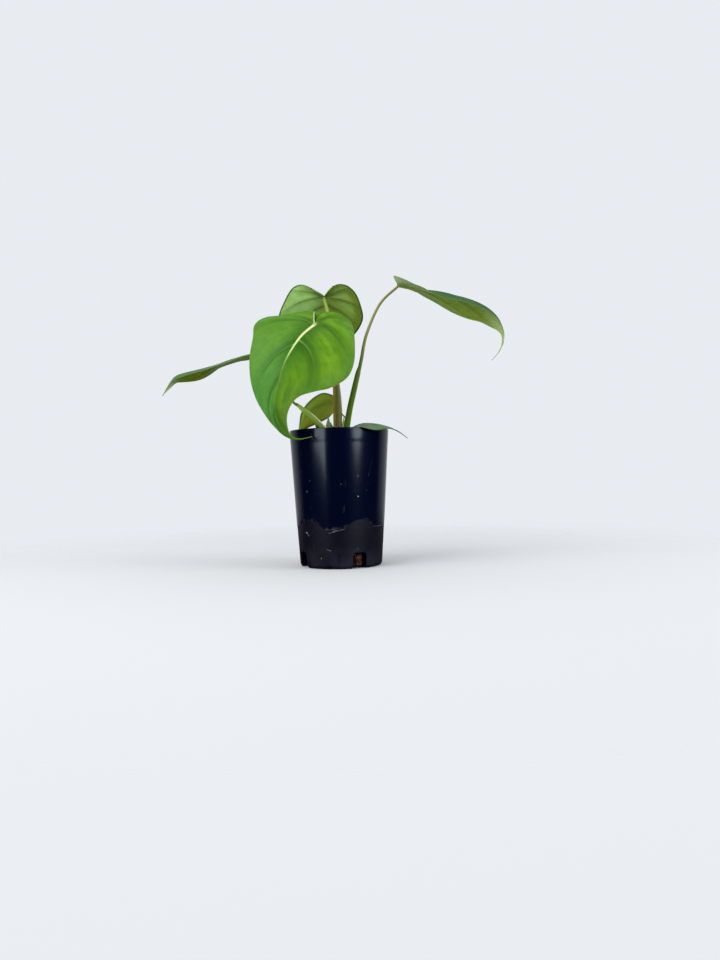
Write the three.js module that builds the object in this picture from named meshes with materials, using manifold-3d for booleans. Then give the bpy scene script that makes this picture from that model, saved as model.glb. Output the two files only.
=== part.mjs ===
// A young heart-leaved philodendron in its nursery pot. The thin plastic pot holds the potting mix,
// the mix holds one short crown, and each of the six leaves grows from the crown on its own stalk.
// Millimetres, +Z up. The origin is the middle of the pot's underside.
import * as THREE from 'three';
import Module from 'manifold-3d';
import { mergeVertices } from 'three/addons/utils/BufferGeometryUtils.js';

// Pot: one moulding, round and tapered
const POT_HEIGHT = 100;
const RIM_RADIUS = 36.5;
const STEP_RADIUS = 32.2;
const STEP_HEIGHT = 29.4;
const BASE_RADIUS = 30;
const FOOT_CORNER = 2.5;
const RIM_BAND_HEIGHT = 9;
const RIM_BAND_PROUD = 0.3;
const POT_WALL = 1;
const POT_FLOOR = 1.5;
const POT_SIDES = 64;

// Drainage notches, cut through the wall and the floor at the foot
const NOTCH_COUNT = 4;
const NOTCH_WIDTH = 10;
const NOTCH_HEIGHT = 11.5;
const NOTCH_DEPTH = 8;
const NOTCH_CORNER = 2.5;
const FIRST_NOTCH_TURN = 23.5;

// Potting mix and crown
const MIX_LEVEL = 91;
const MIX_RELIEF = 1;
const MIX_SIDES = 48;
const MIX_RINGS = 9;
const CROWN_RADIUS = 9.8;
const CROWN_FOOT = 76;
const CROWN_TOP = 98;

// Leaves
const BLADE_THICKNESS = 0.6;
const KEEL = 1;
const STALK_SIDES = 10;
const STALK_TRIM = 3;

// Clear space between neighbouring pieces
const GAP = 0.3;

// Each blade is drawn by three lines on its upper face, as seen with the tip hanging down: the
// midrib from the stalk to the tip, and the left and right margins from the sinus to the tip.
// arch: how far the left and right halves bow up, as a share of their width
// sweep: how far the side veins curve before they reach the margin, as a share of their length
// fan: the share of the margin whose veins all start at the stalk
// veins: side veins in each half; quilt: how high the blade rises between them
// wave, waves: height and number of the ripples of the margin
// stalk: points up its middle, from the crown to the blade, and its radius at each
const FRONT_LEAF = {
  name: 'front',
  ribs: 26,
  steps: 5,
  arch: [0.1, 0.16],
  sweep: 0.16,
  fan: 0.4,
  veins: 6,
  quilt: 0.8,
  wave: 0.5,
  waves: 2.5,
  keel: KEEL,
  sinus: [-16.2, -18, 179.1],
  midrib: [
    [-15.6, -20, 177], [-23.8, -33, 165], [-33.4, -46, 146.8], [-40.1, -51.5, 130.4], [-42.1, -52.5, 117.1],
    [-40.3, -49.5, 105.1], [-34.5, -45, 95.4], [-27.2, -42, 92.2], [-17.5, -39, 93.8],
  ],
  left: [
    [-17.9, -9, 185.5], [-21.5, -1, 190.4], [-29.4, 4, 191.6], [-41.7, 5, 190], [-53, -2, 186.7],
    [-60.3, -11, 178.8], [-60.7, -18, 167.8], [-62.7, -23, 152.4], [-61.5, -29, 136.4], [-57.9, -34, 123.7],
    [-52.3, -38, 113.3], [-44.5, -41, 102.5], [-36.2, -42, 94.6], [-28, -41.5, 91.9],
  ],
  right: [
    [-16, -9, 185.2], [-11.8, 0, 189.9], [-2.8, 2, 190.8], [6.2, -3, 186.1], [11.8, -13, 176.2],
    [13.3, -25, 161.4], [12.5, -35, 146.1], [7.4, -39, 134.7], [-3.9, -43, 127.1], [-14.9, -46, 124.2],
    [-24.1, -48.5, 121.3], [-30.2, -49.5, 115.8], [-33.7, -48.5, 106.5], [-32.3, -45.5, 98.1], [-26.5, -42, 93.3],
  ],
  stalk: {
    path: [
      [0.6, -1.6, 91], [0.6, -1.6, 100], [0.4, -1.6, 116], [-0.6, -2.5, 134.6], [-4.8, -5, 158],
      [-11.5, -9, 172.5], [-14.6, -14.5, 176.6], [-15.6, -20, 177],
    ],
    radii: [1.95, 1.95, 1.95, 1.85, 1.5, 1.2, 1.05, 0.95],
    sheaths: [],
  },
};

const BACK_LEAF = {
  name: 'back',
  ribs: 26,
  steps: 5,
  arch: [0.1, 0.1],
  sweep: 0.14,
  fan: 0.4,
  veins: 6,
  quilt: 0.9,
  wave: 0.4,
  waves: 2.5,
  keel: KEEL,
  sinus: [-10.1, 22.5, 208.1],
  midrib: [[-10.5, 24, 207.3], [-9.8, 37, 194.2], [-9.8, 47, 174.4], [-12, 52, 158.8], [-16.6, 55, 147]],
  left: [
    [-6.5, 17, 211], [-1.3, 12, 213.6], [5, 9.5, 213.4], [11, 9.5, 210.7], [16.3, 11.5, 203.5],
    [20, 18, 190.7], [17.4, 25, 183.8], [10.9, 32, 176.7], [1.6, 42, 166.7], [-7.8, 50, 156],
  ],
  right: [
    [-14.9, 18, 210.4], [-22.1, 13, 213.5], [-28.8, 10.5, 213.9], [-35, 10.5, 210.4], [-40.4, 13, 202.3],
    [-45.7, 19, 193], [-46.5, 26, 184.4], [-43, 35, 174.3], [-35.2, 44, 164.5], [-24.5, 52, 154.1],
  ],
  stalk: {
    path: [
      [-2.2, 2.8, 91], [-2.2, 2.8, 100], [-2.2, 3.3, 116.5], [-2.3, 5, 135.7], [-4, 12, 167.5],
      [-7.1, 19, 192.3], [-10.5, 24, 207.3],
    ],
    radii: [2.1, 2.1, 2.1, 2, 1.7, 1.4, 1.2],
    sheaths: [],
  },
};

const RIGHT_LEAF = {
  name: 'right',
  ribs: 26,
  steps: 5,
  arch: [0.08, 0.08],
  sweep: 0.16,
  fan: 0.36,
  veins: 6,
  quilt: 0.6,
  wave: 0.4,
  waves: 2.5,
  keel: KEEL,
  sinus: [46.4, 0, 209.8],
  midrib: [
    [47.2, 0, 209.1], [57.7, 0, 206.8], [68.2, 0, 205.4], [77.2, 0, 204.1], [87, 0, 201.6], [98.2, 0, 198.5],
    [107.9, 0, 194.6], [116.1, 0, 189.2], [122.3, 0, 181.9], [125.4, 0, 172.4], [124.6, 0, 163], [116.2, 0, 151.3],
  ],
  left: [
    [42.6, -13, 212.2], [46.8, -21.5, 208.9], [50.8, -25, 206.3], [54.6, -26, 204.1], [62.8, -25.5, 198.6],
    [73, -23.3, 194.8], [83.7, -20.3, 192.6], [96.7, -16, 190.3], [107.9, -11.5, 187.3], [116, -7.5, 183.6],
    [122.2, -3.8, 177.7], [124.9, -1.5, 169.9], [123.6, -0.5, 161.5],
  ],
  right: [
    [44.1, 10, 214.8], [50.1, 20, 216.8], [56.7, 26, 215.4], [62.7, 27.5, 211.6], [68.1, 27.3, 207.5],
    [78.6, 25.5, 201.1], [89.3, 22.5, 194.3], [99.8, 18, 188], [110, 13.5, 183.3], [116.1, 9.5, 178.8],
    [122, 5, 172.7], [124.5, 2, 166.1],
  ],
  stalk: {
    path: [
      [5.2, -2, 91], [5.7, -2, 99.4], [7.9, -2, 115.8], [11.2, -1.5, 131.5], [13.8, -1, 144.2], [14.8, -1, 149],
      [21.7, 0, 172.9], [32.7, 0, 195.3], [47.2, 0, 209.1],
    ],
    radii: [2.2, 2.2, 2.15, 2.1, 2, 1.3, 1.15, 1, 0.85],
    sheaths: [{ path: [[12.1, -1.2, 141], [12.7, -1, 147], [13.2, -0.9, 151.5]], radii: [0.9, 0.7, 0.25] }],
  },
};

const LEFT_LEAF = {
  name: 'left',
  ribs: 24,
  steps: 5,
  arch: [0.06, 0.06],
  sweep: 0.16,
  fan: 0.36,
  veins: 6,
  quilt: 0.4,
  wave: 0.3,
  waves: 2.5,
  keel: KEEL,
  sinus: [-56.1, 12, 163.6],
  midrib: [
    [-57.6, 12, 163.4], [-68.1, 12, 161.5], [-77, 12, 159.3], [-85.7, 11, 156.1], [-96.8, 10.5, 153],
    [-108.1, 9.5, 150.1], [-117.7, 8, 147.6], [-124.3, 8, 145.3], [-128.9, 8, 140.2], [-134.8, 8, 130.2],
  ],
  left: [
    [-50.6, 24, 166.8], [-61.1, 31, 164.3], [-71.3, 32, 161.1], [-78.7, 31, 159.6], [-86.5, 30, 157.3],
    [-95.5, 27, 153.6], [-102.2, 24.5, 148.5], [-108, 22, 144.8], [-113.6, 19, 142.7], [-120.4, 15, 141.4],
    [-125.2, 12, 140.3], [-129.4, 9.5, 135.7],
  ],
  right: [
    [-48.4, 0, 163], [-55.7, -8, 158.6], [-64.9, -9, 156.7], [-73.4, -9, 154.5], [-82.2, -8, 151.6],
    [-91.8, -6, 148.8], [-99.8, -4, 146.6], [-108.6, -1.5, 144.6], [-117.8, 2, 142.8], [-124.8, 5, 141.2],
    [-129.7, 7, 136.9],
  ],
  stalk: {
    path: [
      [-5.2, -2, 91], [-9.4, -1.2, 98.5], [-12.7, -0.5, 103.6], [-20, -1, 110.8], [-27, -0.2, 116.9],
      [-29.6, 0.4, 119.2], [-34, 2, 122.7], [-44.5, 6, 132.9], [-53.8, 10, 150.4], [-57.6, 12, 163.4],
    ],
    radii: [2, 2.2, 2.25, 2.05, 1.6, 1, 0.95, 0.95, 0.95, 0.9],
    sheaths: [{ path: [[-25, -0.4, 117.2], [-28, 0.2, 120.4], [-29.6, 0.6, 122.2]], radii: [0.9, 0.75, 0.3] }],
  },
};

const SMALL_LEAF = {
  name: 'small',
  ribs: 18,
  steps: 4,
  arch: [0.12, 0.12],
  sweep: 0.1,
  fan: 0.36,
  veins: 5,
  quilt: 0.2,
  wave: 0.2,
  waves: 2.5,
  keel: KEEL / 2,
  sinus: [-2.2, 10.5, 122.2],
  midrib: [
    [-3.7, 10, 121.8], [-10.5, 8, 121], [-18.1, 6.5, 117.9], [-24.3, 6, 112.7], [-28.7, 7, 106.7],
    [-31.7, 10, 100.1],
  ],
  left: [
    [-0.6, 10, 125.6], [-4.3, 9, 128.5], [-11.1, 7.5, 130.3], [-17.4, 6.5, 127.8], [-24.1, 5.5, 122.1],
    [-28.8, 6, 115], [-30.5, 8, 106.9],
  ],
  right: [
    [-0.7, 10, 118.7], [-3.8, 9.5, 115.7], [-8.1, 8.5, 111.1], [-16.1, 8, 107], [-23.1, 8, 104],
    [-27.8, 9, 101.7],
  ],
  stalk: {
    path: [[-2.4, 7, 91], [-1.8, 9.5, 101], [-1.8, 12.2, 111], [-2.6, 12.9, 117.5], [-4.9, 10.5, 123]],
    radii: [1.1, 1.05, 0.95, 0.85, 0.8],
    sheaths: [],
  },
};

const RIM_LEAF = {
  name: 'rim',
  ribs: 18,
  steps: 4,
  arch: [0.06, 0.06],
  sweep: 0.1,
  fan: 0.36,
  veins: 5,
  quilt: 0.2,
  wave: 0.2,
  waves: 2.5,
  keel: KEEL / 2,
  sinus: [7.8, -13.4, 100.9],
  midrib: [
    [8.5, -14, 101], [13, -17, 103.2], [18.4, -20, 104.4], [25.9, -23, 103.8], [31.6, -25, 102.4],
    [36.5, -27, 100.6], [42.8, -29, 97.7], [49.6, -31, 92.3],
  ],
  left: [
    [7.6, -22, 100.8], [10.1, -30, 101.7], [13.7, -34, 101.8], [17.9, -36, 100.4], [22.8, -36, 98.5],
    [28.4, -34, 97.9], [34.1, -32, 98.6], [38.4, -31, 98.3], [44, -31, 95.8],
  ],
  right: [
    [9.9, -7, 102.6], [14.4, -5, 104], [20.4, -6, 104.5], [27, -9.5, 104], [32.7, -15, 102.8],
    [37.5, -21, 100.8], [43.6, -27, 97.4],
  ],
  stalk: {
    path: [[4.2, -6.6, 91], [6, -9.5, 95.5], [7.8, -12.2, 98.3], [9.8, -14.5, 100.9]],
    radii: [1.2, 1.1, 1, 0.9],
    sheaths: [],
  },
};

const LEAVES = [FRONT_LEAF, BACK_LEAF, RIGHT_LEAF, LEFT_LEAF, SMALL_LEAF, RIM_LEAF];

// A dry scale leaf that split in two as the stalks pushed past it
const DRY_SCALE = [
  { path: [[-7.4, 3.2, 91], [-9, 3.7, 98], [-9.3, 3.5, 104], [-8, 3.3, 111.3]], radii: [1, 1.1, 0.9, 0.35] },
  { path: [[-6, 4.8, 91], [-6, 4.5, 98], [-6.7, 4, 104.5], [-7.8, 3.4, 110]], radii: [0.8, 0.9, 0.75, 0.4] },
];

// Solids: joining and cutting
const wasm = await Module();
wasm.setup();

function toSolid(geometry) {
  const bare = geometry.clone();
  bare.deleteAttribute('normal');
  bare.deleteAttribute('uv');
  const merged = mergeVertices(bare, 1e-4);
  return new wasm.Manifold(new wasm.Mesh({
    numProp: 3,
    vertProperties: new Float32Array(merged.getAttribute('position').array),
    triVerts: new Uint32Array(merged.getIndex().array),
  }));
}

function toGeometry(solid) {
  const mesh = solid.getMesh();
  const geometry = new THREE.BufferGeometry();
  geometry.setAttribute('position', new THREE.BufferAttribute(new Float32Array(mesh.vertProperties), 3));
  geometry.setIndex(new THREE.BufferAttribute(new Uint32Array(mesh.triVerts), 1));
  return geometry;
}

function fromTriangles(points, triangles) {
  const geometry = new THREE.BufferGeometry();
  geometry.setAttribute('position', new THREE.Float32BufferAttribute(points.flatMap((p) => p.toArray()), 3));
  geometry.setIndex(triangles.flat());
  return geometry;
}

const clamp = THREE.MathUtils.clamp;

function smoothLine(points) {
  return new THREE.CatmullRomCurve3(points.map((p) => new THREE.Vector3(...p)), false, 'catmullrom', 0.5);
}

// Potted things are turned about the Z axis, and three.js turns its lathes about Y
function turned(profile, sides) {
  const geometry = new THREE.LatheGeometry(profile.map(([r, z]) => new THREE.Vector2(r, z)), sides);
  geometry.rotateX(Math.PI / 2);
  return geometry;
}

function potRadius(z) {
  const upper = (RIM_RADIUS - STEP_RADIUS) / (POT_HEIGHT - STEP_HEIGHT);
  const lower = (STEP_RADIUS - BASE_RADIUS) / STEP_HEIGHT;
  return z > STEP_HEIGHT ? STEP_RADIUS + upper * (z - STEP_HEIGHT) : BASE_RADIUS + lower * z;
}

function footCorner(radius, corner, lift) {
  return [0, 1, 2, 3].map((step) => {
    const turn = (step / 3) * (Math.PI / 2);
    return [radius - corner + corner * Math.sin(turn), lift + corner * (1 - Math.cos(turn))];
  });
}

function pot() {
  const bandFoot = POT_HEIGHT - RIM_BAND_HEIGHT;
  const stepProud = 0.3;
  const lip = 0.4;
  const outer = [
    [0, 0],
    ...footCorner(potRadius(FOOT_CORNER), FOOT_CORNER, 0),
    [STEP_RADIUS - stepProud, STEP_HEIGHT - stepProud],
    [STEP_RADIUS, STEP_HEIGHT],
    [potRadius(bandFoot) - RIM_BAND_PROUD, bandFoot],
    [potRadius(bandFoot), bandFoot + RIM_BAND_PROUD],
    [RIM_RADIUS, POT_HEIGHT - lip],
    [RIM_RADIUS - lip, POT_HEIGHT],
  ];
  const inner = [
    [RIM_RADIUS - POT_WALL, POT_HEIGHT],
    [potRadius(bandFoot) - RIM_BAND_PROUD - POT_WALL, bandFoot],
    [STEP_RADIUS - stepProud - POT_WALL, STEP_HEIGHT],
    ...footCorner(potRadius(FOOT_CORNER) - POT_WALL, FOOT_CORNER, POT_FLOOR).reverse(),
    [0, POT_FLOOR],
  ];
  const notch = new THREE.Shape();
  const half = NOTCH_WIDTH / 2;
  notch.moveTo(-half, -1);
  notch.lineTo(half, -1);
  notch.lineTo(half, NOTCH_HEIGHT - NOTCH_CORNER);
  notch.absarc(half - NOTCH_CORNER, NOTCH_HEIGHT - NOTCH_CORNER, NOTCH_CORNER, 0, Math.PI / 2, false);
  notch.absarc(-half + NOTCH_CORNER, NOTCH_HEIGHT - NOTCH_CORNER, NOTCH_CORNER, Math.PI / 2, Math.PI, false);
  const cutter = new THREE.ExtrudeGeometry(notch, { depth: NOTCH_DEPTH * 2, bevelEnabled: false, curveSegments: 4 });
  // The notch is drawn in the XY plane: stand it up, then push it out to the foot of the wall
  cutter.rotateX(Math.PI / 2);
  cutter.translate(0, -(BASE_RADIUS - NOTCH_DEPTH), 0);
  let body = toSolid(turned([...outer, ...inner], POT_SIDES));
  for (let k = 0; k < NOTCH_COUNT; k += 1) {
    const turn = THREE.MathUtils.degToRad(FIRST_NOTCH_TURN + (k * 360) / NOTCH_COUNT);
    body = body.subtract(toSolid(cutter.clone().rotateZ(turn)));
  }
  return toGeometry(body);
}

function crown(grow = 0) {
  const middle = (CROWN_FOOT + CROWN_TOP) / 2;
  return turned([
    [0, CROWN_FOOT - grow],
    [CROWN_RADIUS * 0.55 + grow, CROWN_FOOT + 0.8 - grow],
    [CROWN_RADIUS * 0.88 + grow, CROWN_FOOT + 4],
    [CROWN_RADIUS + grow, middle],
    [CROWN_RADIUS * 0.97 + grow, middle + 5],
    [CROWN_RADIUS * 0.86 + grow, CROWN_TOP - 2.4 + grow],
    [CROWN_RADIUS * 0.6 + grow, CROWN_TOP - 0.7 + grow],
    [0, CROWN_TOP + grow],
  ], 24);
}

// The lumpy top of the mix: a few crossed ripples, the same on every run
function mixHeight(x, y) {
  const lumps = Math.sin(x * 0.9 + 1.3 * Math.sin(y * 0.5)) + Math.sin(y * 1.1 - 0.7 * x) + Math.sin((x + y) * 0.37);
  return MIX_LEVEL + (MIX_RELIEF * lumps) / 3;
}

function pottingMix() {
  const wallTop = potRadius(MIX_LEVEL) - RIM_BAND_PROUD - POT_WALL - GAP;
  const wallStep = STEP_RADIUS - POT_WALL - 2 * GAP;
  const corner = footCorner(potRadius(FOOT_CORNER) - POT_WALL - GAP, FOOT_CORNER, POT_FLOOR + GAP);
  const side = [...corner, [wallStep, STEP_HEIGHT]];
  const points = [new THREE.Vector3(0, 0, POT_FLOOR + GAP)];
  const rings = [];
  const addRing = (radius, height) => {
    const ring = [];
    for (let k = 0; k < MIX_SIDES; k += 1) {
      const turn = (k / MIX_SIDES) * Math.PI * 2;
      const x = radius * Math.cos(turn);
      const y = radius * Math.sin(turn);
      ring.push(points.length);
      points.push(new THREE.Vector3(x, y, height(x, y)));
    }
    rings.push(ring);
  };
  side.forEach(([radius, z]) => addRing(radius, () => z));
  for (let j = MIX_RINGS; j >= 1; j -= 1) {
    addRing((wallTop * j) / MIX_RINGS, mixHeight);
  }
  const top = points.length;
  points.push(new THREE.Vector3(0, 0, mixHeight(0, 0)));
  const triangles = [];
  for (let k = 0; k < MIX_SIDES; k += 1) {
    const next = (k + 1) % MIX_SIDES;
    triangles.push([0, rings[0][next], rings[0][k]]);
    for (let j = 0; j + 1 < rings.length; j += 1) {
      const [low, high] = [rings[j], rings[j + 1]];
      triangles.push([low[k], low[next], high[next]], [low[k], high[next], high[k]]);
    }
    const last = rings[rings.length - 1];
    triangles.push([last[k], last[next], top]);
  }
  return toGeometry(toSolid(fromTriangles(points, triangles)).subtract(toSolid(crown(GAP))));
}

// A stalk: rings of points round a smooth line, with a flat end at each end
function tube({ path, radii }, grow = 0, steps = 20) {
  const line = smoothLine(path);
  const points = [];
  const triangles = [];
  const start = line.getPoint(0);
  let across = new THREE.Vector3(0, 1, 0);
  points.push(start);
  for (let i = 0; i <= steps; i += 1) {
    const t = i / steps;
    const along = line.getTangent(t);
    across = across.clone().addScaledVector(along, -across.dot(along)).normalize();
    const beside = new THREE.Vector3().crossVectors(along, across);
    const place = clamp(t * (radii.length - 1), 0, radii.length - 1.0001);
    const low = Math.floor(place);
    const radius = THREE.MathUtils.lerp(radii[low], radii[low + 1], place - low) + grow;
    const middle = line.getPoint(t);
    for (let k = 0; k < STALK_SIDES; k += 1) {
      const turn = (k / STALK_SIDES) * Math.PI * 2;
      const spoke = across.clone().multiplyScalar(Math.cos(turn)).addScaledVector(beside, Math.sin(turn));
      points.push(middle.clone().addScaledVector(spoke, radius));
    }
  }
  points.push(line.getPoint(1));
  const end = points.length - 1;
  for (let k = 0; k < STALK_SIDES; k += 1) {
    const next = (k + 1) % STALK_SIDES;
    triangles.push([0, 1 + next, 1 + k]);
    for (let i = 0; i < steps; i += 1) {
      const low = 1 + i * STALK_SIDES;
      const high = low + STALK_SIDES;
      triangles.push([low + k, low + next, high + next], [low + k, high + next, high + k]);
    }
    const last = 1 + steps * STALK_SIDES;
    triangles.push([end, last + k, last + next]);
  }
  return fromTriangles(points, triangles);
}

// Straight up out of the blade where the stalk meets it
function bladeUp(leaf) {
  const across = new THREE.Vector3(...leaf.left[0]).sub(new THREE.Vector3(...leaf.right[0]));
  return across.cross(smoothLine(leaf.midrib).getTangentAt(0)).normalize();
}

// The upper face of a blade: t runs along the margin from the sinus to the tip, q from the midrib
// out to the margin, and side is 0 for the left half and 1 for the right
function bladeFace(leaf) {
  const midrib = smoothLine(leaf.midrib);
  const tip = leaf.midrib[leaf.midrib.length - 1];
  const margins = [leaf.left, leaf.right].map((margin) => smoothLine([leaf.sinus, ...margin, tip]));
  const veinStart = (t) => clamp((t - leaf.fan) / (1 - leaf.fan), 0, 1) ** 1.1;
  const normal = (t) => {
    const steady = clamp(t, 0.1, 0.93);
    const across = margins[0].getPointAt(steady).sub(margins[1].getPointAt(steady));
    return across.cross(midrib.getTangentAt(veinStart(steady))).normalize();
  };
  return (t, q, side, grow = 0) => {
    const start = midrib.getPointAt(veinStart(t));
    const end = margins[side].getPointAt(t);
    const reach = end.clone().sub(start);
    const size = reach.length();
    if (size > 0) {
      end.addScaledVector(reach, grow / size);
    }
    const up = normal(t);
    const along = midrib.getTangentAt(veinStart(t));
    const bend = start.clone().addScaledVector(reach, 0.5);
    bend.addScaledVector(up, leaf.arch[side] * size * clamp(t / 0.15, 0, 1));
    bend.addScaledVector(along, -leaf.sweep * size * clamp((t - 0.25) / 0.3, 0, 1));
    const point = start.multiplyScalar((1 - q) ** 2);
    point.addScaledVector(bend, 2 * q * (1 - q)).addScaledVector(end, q * q);
    const near = clamp((size * q) / 8, 0, 1);
    const cushion = (Math.abs(Math.sin(Math.PI * leaf.veins * t)) - 0.6) * Math.sin(Math.PI * q) ** 0.7;
    const ripple = Math.sin(2 * Math.PI * leaf.waves * t + (side === 0 ? 1 : 2.6)) * q * q;
    return point.addScaledVector(up, near * (leaf.quilt * cushion + leaf.wave * ripple));
  };
}

// A closed blade: the upper face, the same face lowered by the thickness, and the band between
// them along the margin. The midrib hangs below as a keel that thins towards the tip.
function blade(leaf, grow = 0) {
  const face = bladeFace(leaf);
  const points = [];
  const keels = [];
  const known = new Map();
  const vertex = (i, m, side) => {
    const t = i / leaf.ribs;
    let key = `${side} ${i} ${m}`;
    if (i === leaf.ribs) key = 'tip';
    else if (m === 0) key = t <= leaf.fan ? 'junction' : `midrib ${i}`;
    else if (i === 0) key = `sinus ${m}`;
    if (!known.has(key)) {
      known.set(key, points.length);
      points.push(face(t, m / leaf.steps, side, grow));
      keels.push(m === 0 ? leaf.keel * (1 - clamp((t - leaf.fan) / (1 - leaf.fan), 0, 1)) : 0);
    }
    return known.get(key);
  };
  const upper = [];
  const edges = [];
  for (const side of [0, 1]) {
    for (let i = 0; i < leaf.ribs; i += 1) {
      for (let m = 0; m < leaf.steps; m += 1) {
        const [a, b] = [vertex(i, m, side), vertex(i + 1, m, side)];
        const [c, d] = [vertex(i + 1, m + 1, side), vertex(i, m + 1, side)];
        for (const [p, q, r] of [[a, b, c], [a, c, d]]) {
          if (p !== q && q !== r && r !== p) upper.push(side === 0 ? [p, r, q] : [p, q, r]);
        }
      }
      const [from, to] = [vertex(i, leaf.steps, side), vertex(i + 1, leaf.steps, side)];
      edges.push(side === 0 ? [to, from] : [from, to]);
    }
  }
  const normals = points.map(() => new THREE.Vector3());
  for (const [a, b, c] of upper) {
    const facing = points[b].clone().sub(points[a]).cross(points[c].clone().sub(points[a]));
    [a, b, c].forEach((corner) => normals[corner].add(facing));
  }
  normals.forEach((n) => n.normalize());
  const count = points.length;
  const top = points.map((p, k) => p.clone().addScaledVector(normals[k], grow));
  const bottom = points.map((p, k) => p.clone().addScaledVector(normals[k], -BLADE_THICKNESS - keels[k] - grow));
  const triangles = [...upper];
  upper.forEach(([a, b, c]) => triangles.push([a + count, c + count, b + count]));
  edges.forEach(([a, b]) => triangles.push([a, b, b + count], [a, b + count, a + count]));
  return fromTriangles([...top, ...bottom], triangles);
}

// A stalk with its sheath tips, cut off square just under its blade
function stalk(leaf) {
  const depth = BLADE_THICKNESS + leaf.keel + GAP;
  const up = bladeUp(leaf);
  const trim = new THREE.CylinderGeometry(STALK_TRIM, STALK_TRIM, STALK_TRIM * 2, 12);
  trim.translate(0, STALK_TRIM - depth, 0);
  trim.applyQuaternion(new THREE.Quaternion().setFromUnitVectors(new THREE.Vector3(0, 1, 0), up));
  trim.translate(...leaf.midrib[0]);
  let body = toSolid(tube(leaf.stalk));
  for (const sheath of leaf.stalk.sheaths) {
    body = body.add(toSolid(tube(sheath, 0, 5)));
  }
  return toGeometry(body.subtract(toSolid(trim)).subtract(toSolid(blade(leaf, GAP))));
}

function dryScale() {
  const [first, second] = DRY_SCALE.map((leg) => toSolid(tube(leg, 0, 8)));
  return toGeometry(first.add(second));
}

// The crown has a plain socket for the foot of each stalk
function crownWithSockets() {
  let body = toSolid(crown());
  const feet = [...LEAVES.map((leaf) => tube(leaf.stalk, GAP)), ...DRY_SCALE.map((leg) => tube(leg, GAP, 8))];
  for (const foot of feet) {
    const socket = foot.clone().translate(0, 0, -GAP);
    body = body.subtract(toSolid(foot)).subtract(toSolid(socket));
  }
  return toGeometry(body);
}

const plastic = { color: 0x14172b, roughness: 0.32, metalness: 0 };
const coir = { color: 0x3a281b, roughness: 0.95, metalness: 0 };
const rind = { color: 0x5d4a33, roughness: 0.8, metalness: 0 };
const paleGreen = { color: 0x7f8a45, roughness: 0.5, metalness: 0 };
const mauveBrown = { color: 0x75684a, roughness: 0.5, metalness: 0 };
const darkGreen = { color: 0x3d5c10, roughness: 0.45, metalness: 0 };
const leafGreen = { color: 0x4f9424, roughness: 0.42, metalness: 0 };
const oliveGreen = { color: 0x6f7a22, roughness: 0.5, metalness: 0 };
const blueGreen = { color: 0x3f6a45, roughness: 0.45, metalness: 0 };

const BLADE_FINISH = {
  front: leafGreen, back: leafGreen, right: leafGreen, left: leafGreen, small: oliveGreen, rim: blueGreen,
};
const STALK_FINISH = {
  front: mauveBrown, back: mauveBrown, right: darkGreen, left: paleGreen, small: paleGreen, rim: paleGreen,
};

const plant = new THREE.Group();

function place(name, geometry, finish) {
  const mesh = new THREE.Mesh(geometry, new THREE.MeshStandardMaterial(finish));
  mesh.name = name;
  plant.add(mesh);
}

place('pot', pot(), plastic);
place('potting_mix', pottingMix(), coir);
place('crown', crownWithSockets(), rind);
for (const leaf of LEAVES) {
  place(`${leaf.name}_stalk`, stalk(leaf), STALK_FINISH[leaf.name]);
  place(`${leaf.name}_blade`, blade(leaf), BLADE_FINISH[leaf.name]);
}
place('dry_scale', dryScale(), blueGreen);

export default plant;
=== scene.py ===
import math

import bmesh
import bpy
import numpy as np
from mathutils import Matrix, Vector, noise


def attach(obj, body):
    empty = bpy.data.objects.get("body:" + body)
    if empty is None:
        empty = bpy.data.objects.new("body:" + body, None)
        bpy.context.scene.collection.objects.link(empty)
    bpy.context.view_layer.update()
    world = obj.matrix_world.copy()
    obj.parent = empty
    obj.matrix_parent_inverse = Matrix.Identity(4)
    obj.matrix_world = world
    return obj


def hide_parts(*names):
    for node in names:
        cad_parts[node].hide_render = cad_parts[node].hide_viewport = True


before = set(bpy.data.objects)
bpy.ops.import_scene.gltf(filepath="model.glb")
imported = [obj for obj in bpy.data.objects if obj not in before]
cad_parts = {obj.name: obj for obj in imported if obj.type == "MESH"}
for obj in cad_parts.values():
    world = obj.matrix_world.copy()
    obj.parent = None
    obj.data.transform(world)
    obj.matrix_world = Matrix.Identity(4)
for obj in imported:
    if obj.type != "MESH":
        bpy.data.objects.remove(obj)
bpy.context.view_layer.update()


# The nursery pot
#
# One thin moulding in blue-black polypropylene, tapered so that empty pots nest. The wall is glossy
# down to a step near the foot and dull below it, where the mould was left rough, and the dull skin
# rises over the step in five low arches. Four notches at the foot drain it.
MM = 0.001
RIM_RADIUS = 37.1
POT_HEIGHT = 100.5
STEP_RADIUS = 32.8
STEP_HEIGHT = 29.4
BASE_RADIUS = 30.8
FOOT_CORNER = 2.5
WALL = 1.0
FLOOR = 1.5
RIM_BAND = 9.0
RIM_RELIEF = 0.06
RELIEF = 0.3
STEP_FADE = 1.3
BAND_FADE = 2.4
SCUFF_WIDTH = 0.7
ARCH_TURNS = [28.5 + 72.0 * k for k in range(5)]
ARCH_HEIGHT = 6.4
ARCH_HALF_WIDTH = 25.0
POT_SIDES = 320
NOTCH_TURNS = [27.5 + 90.0 * k for k in range(4)]
NOTCH_WIDTH = 11.0
NOTCH_HEIGHT = 11.5
NOTCH_CORNER = 3.2
NOTCH_DEPTH = 8.0
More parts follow.
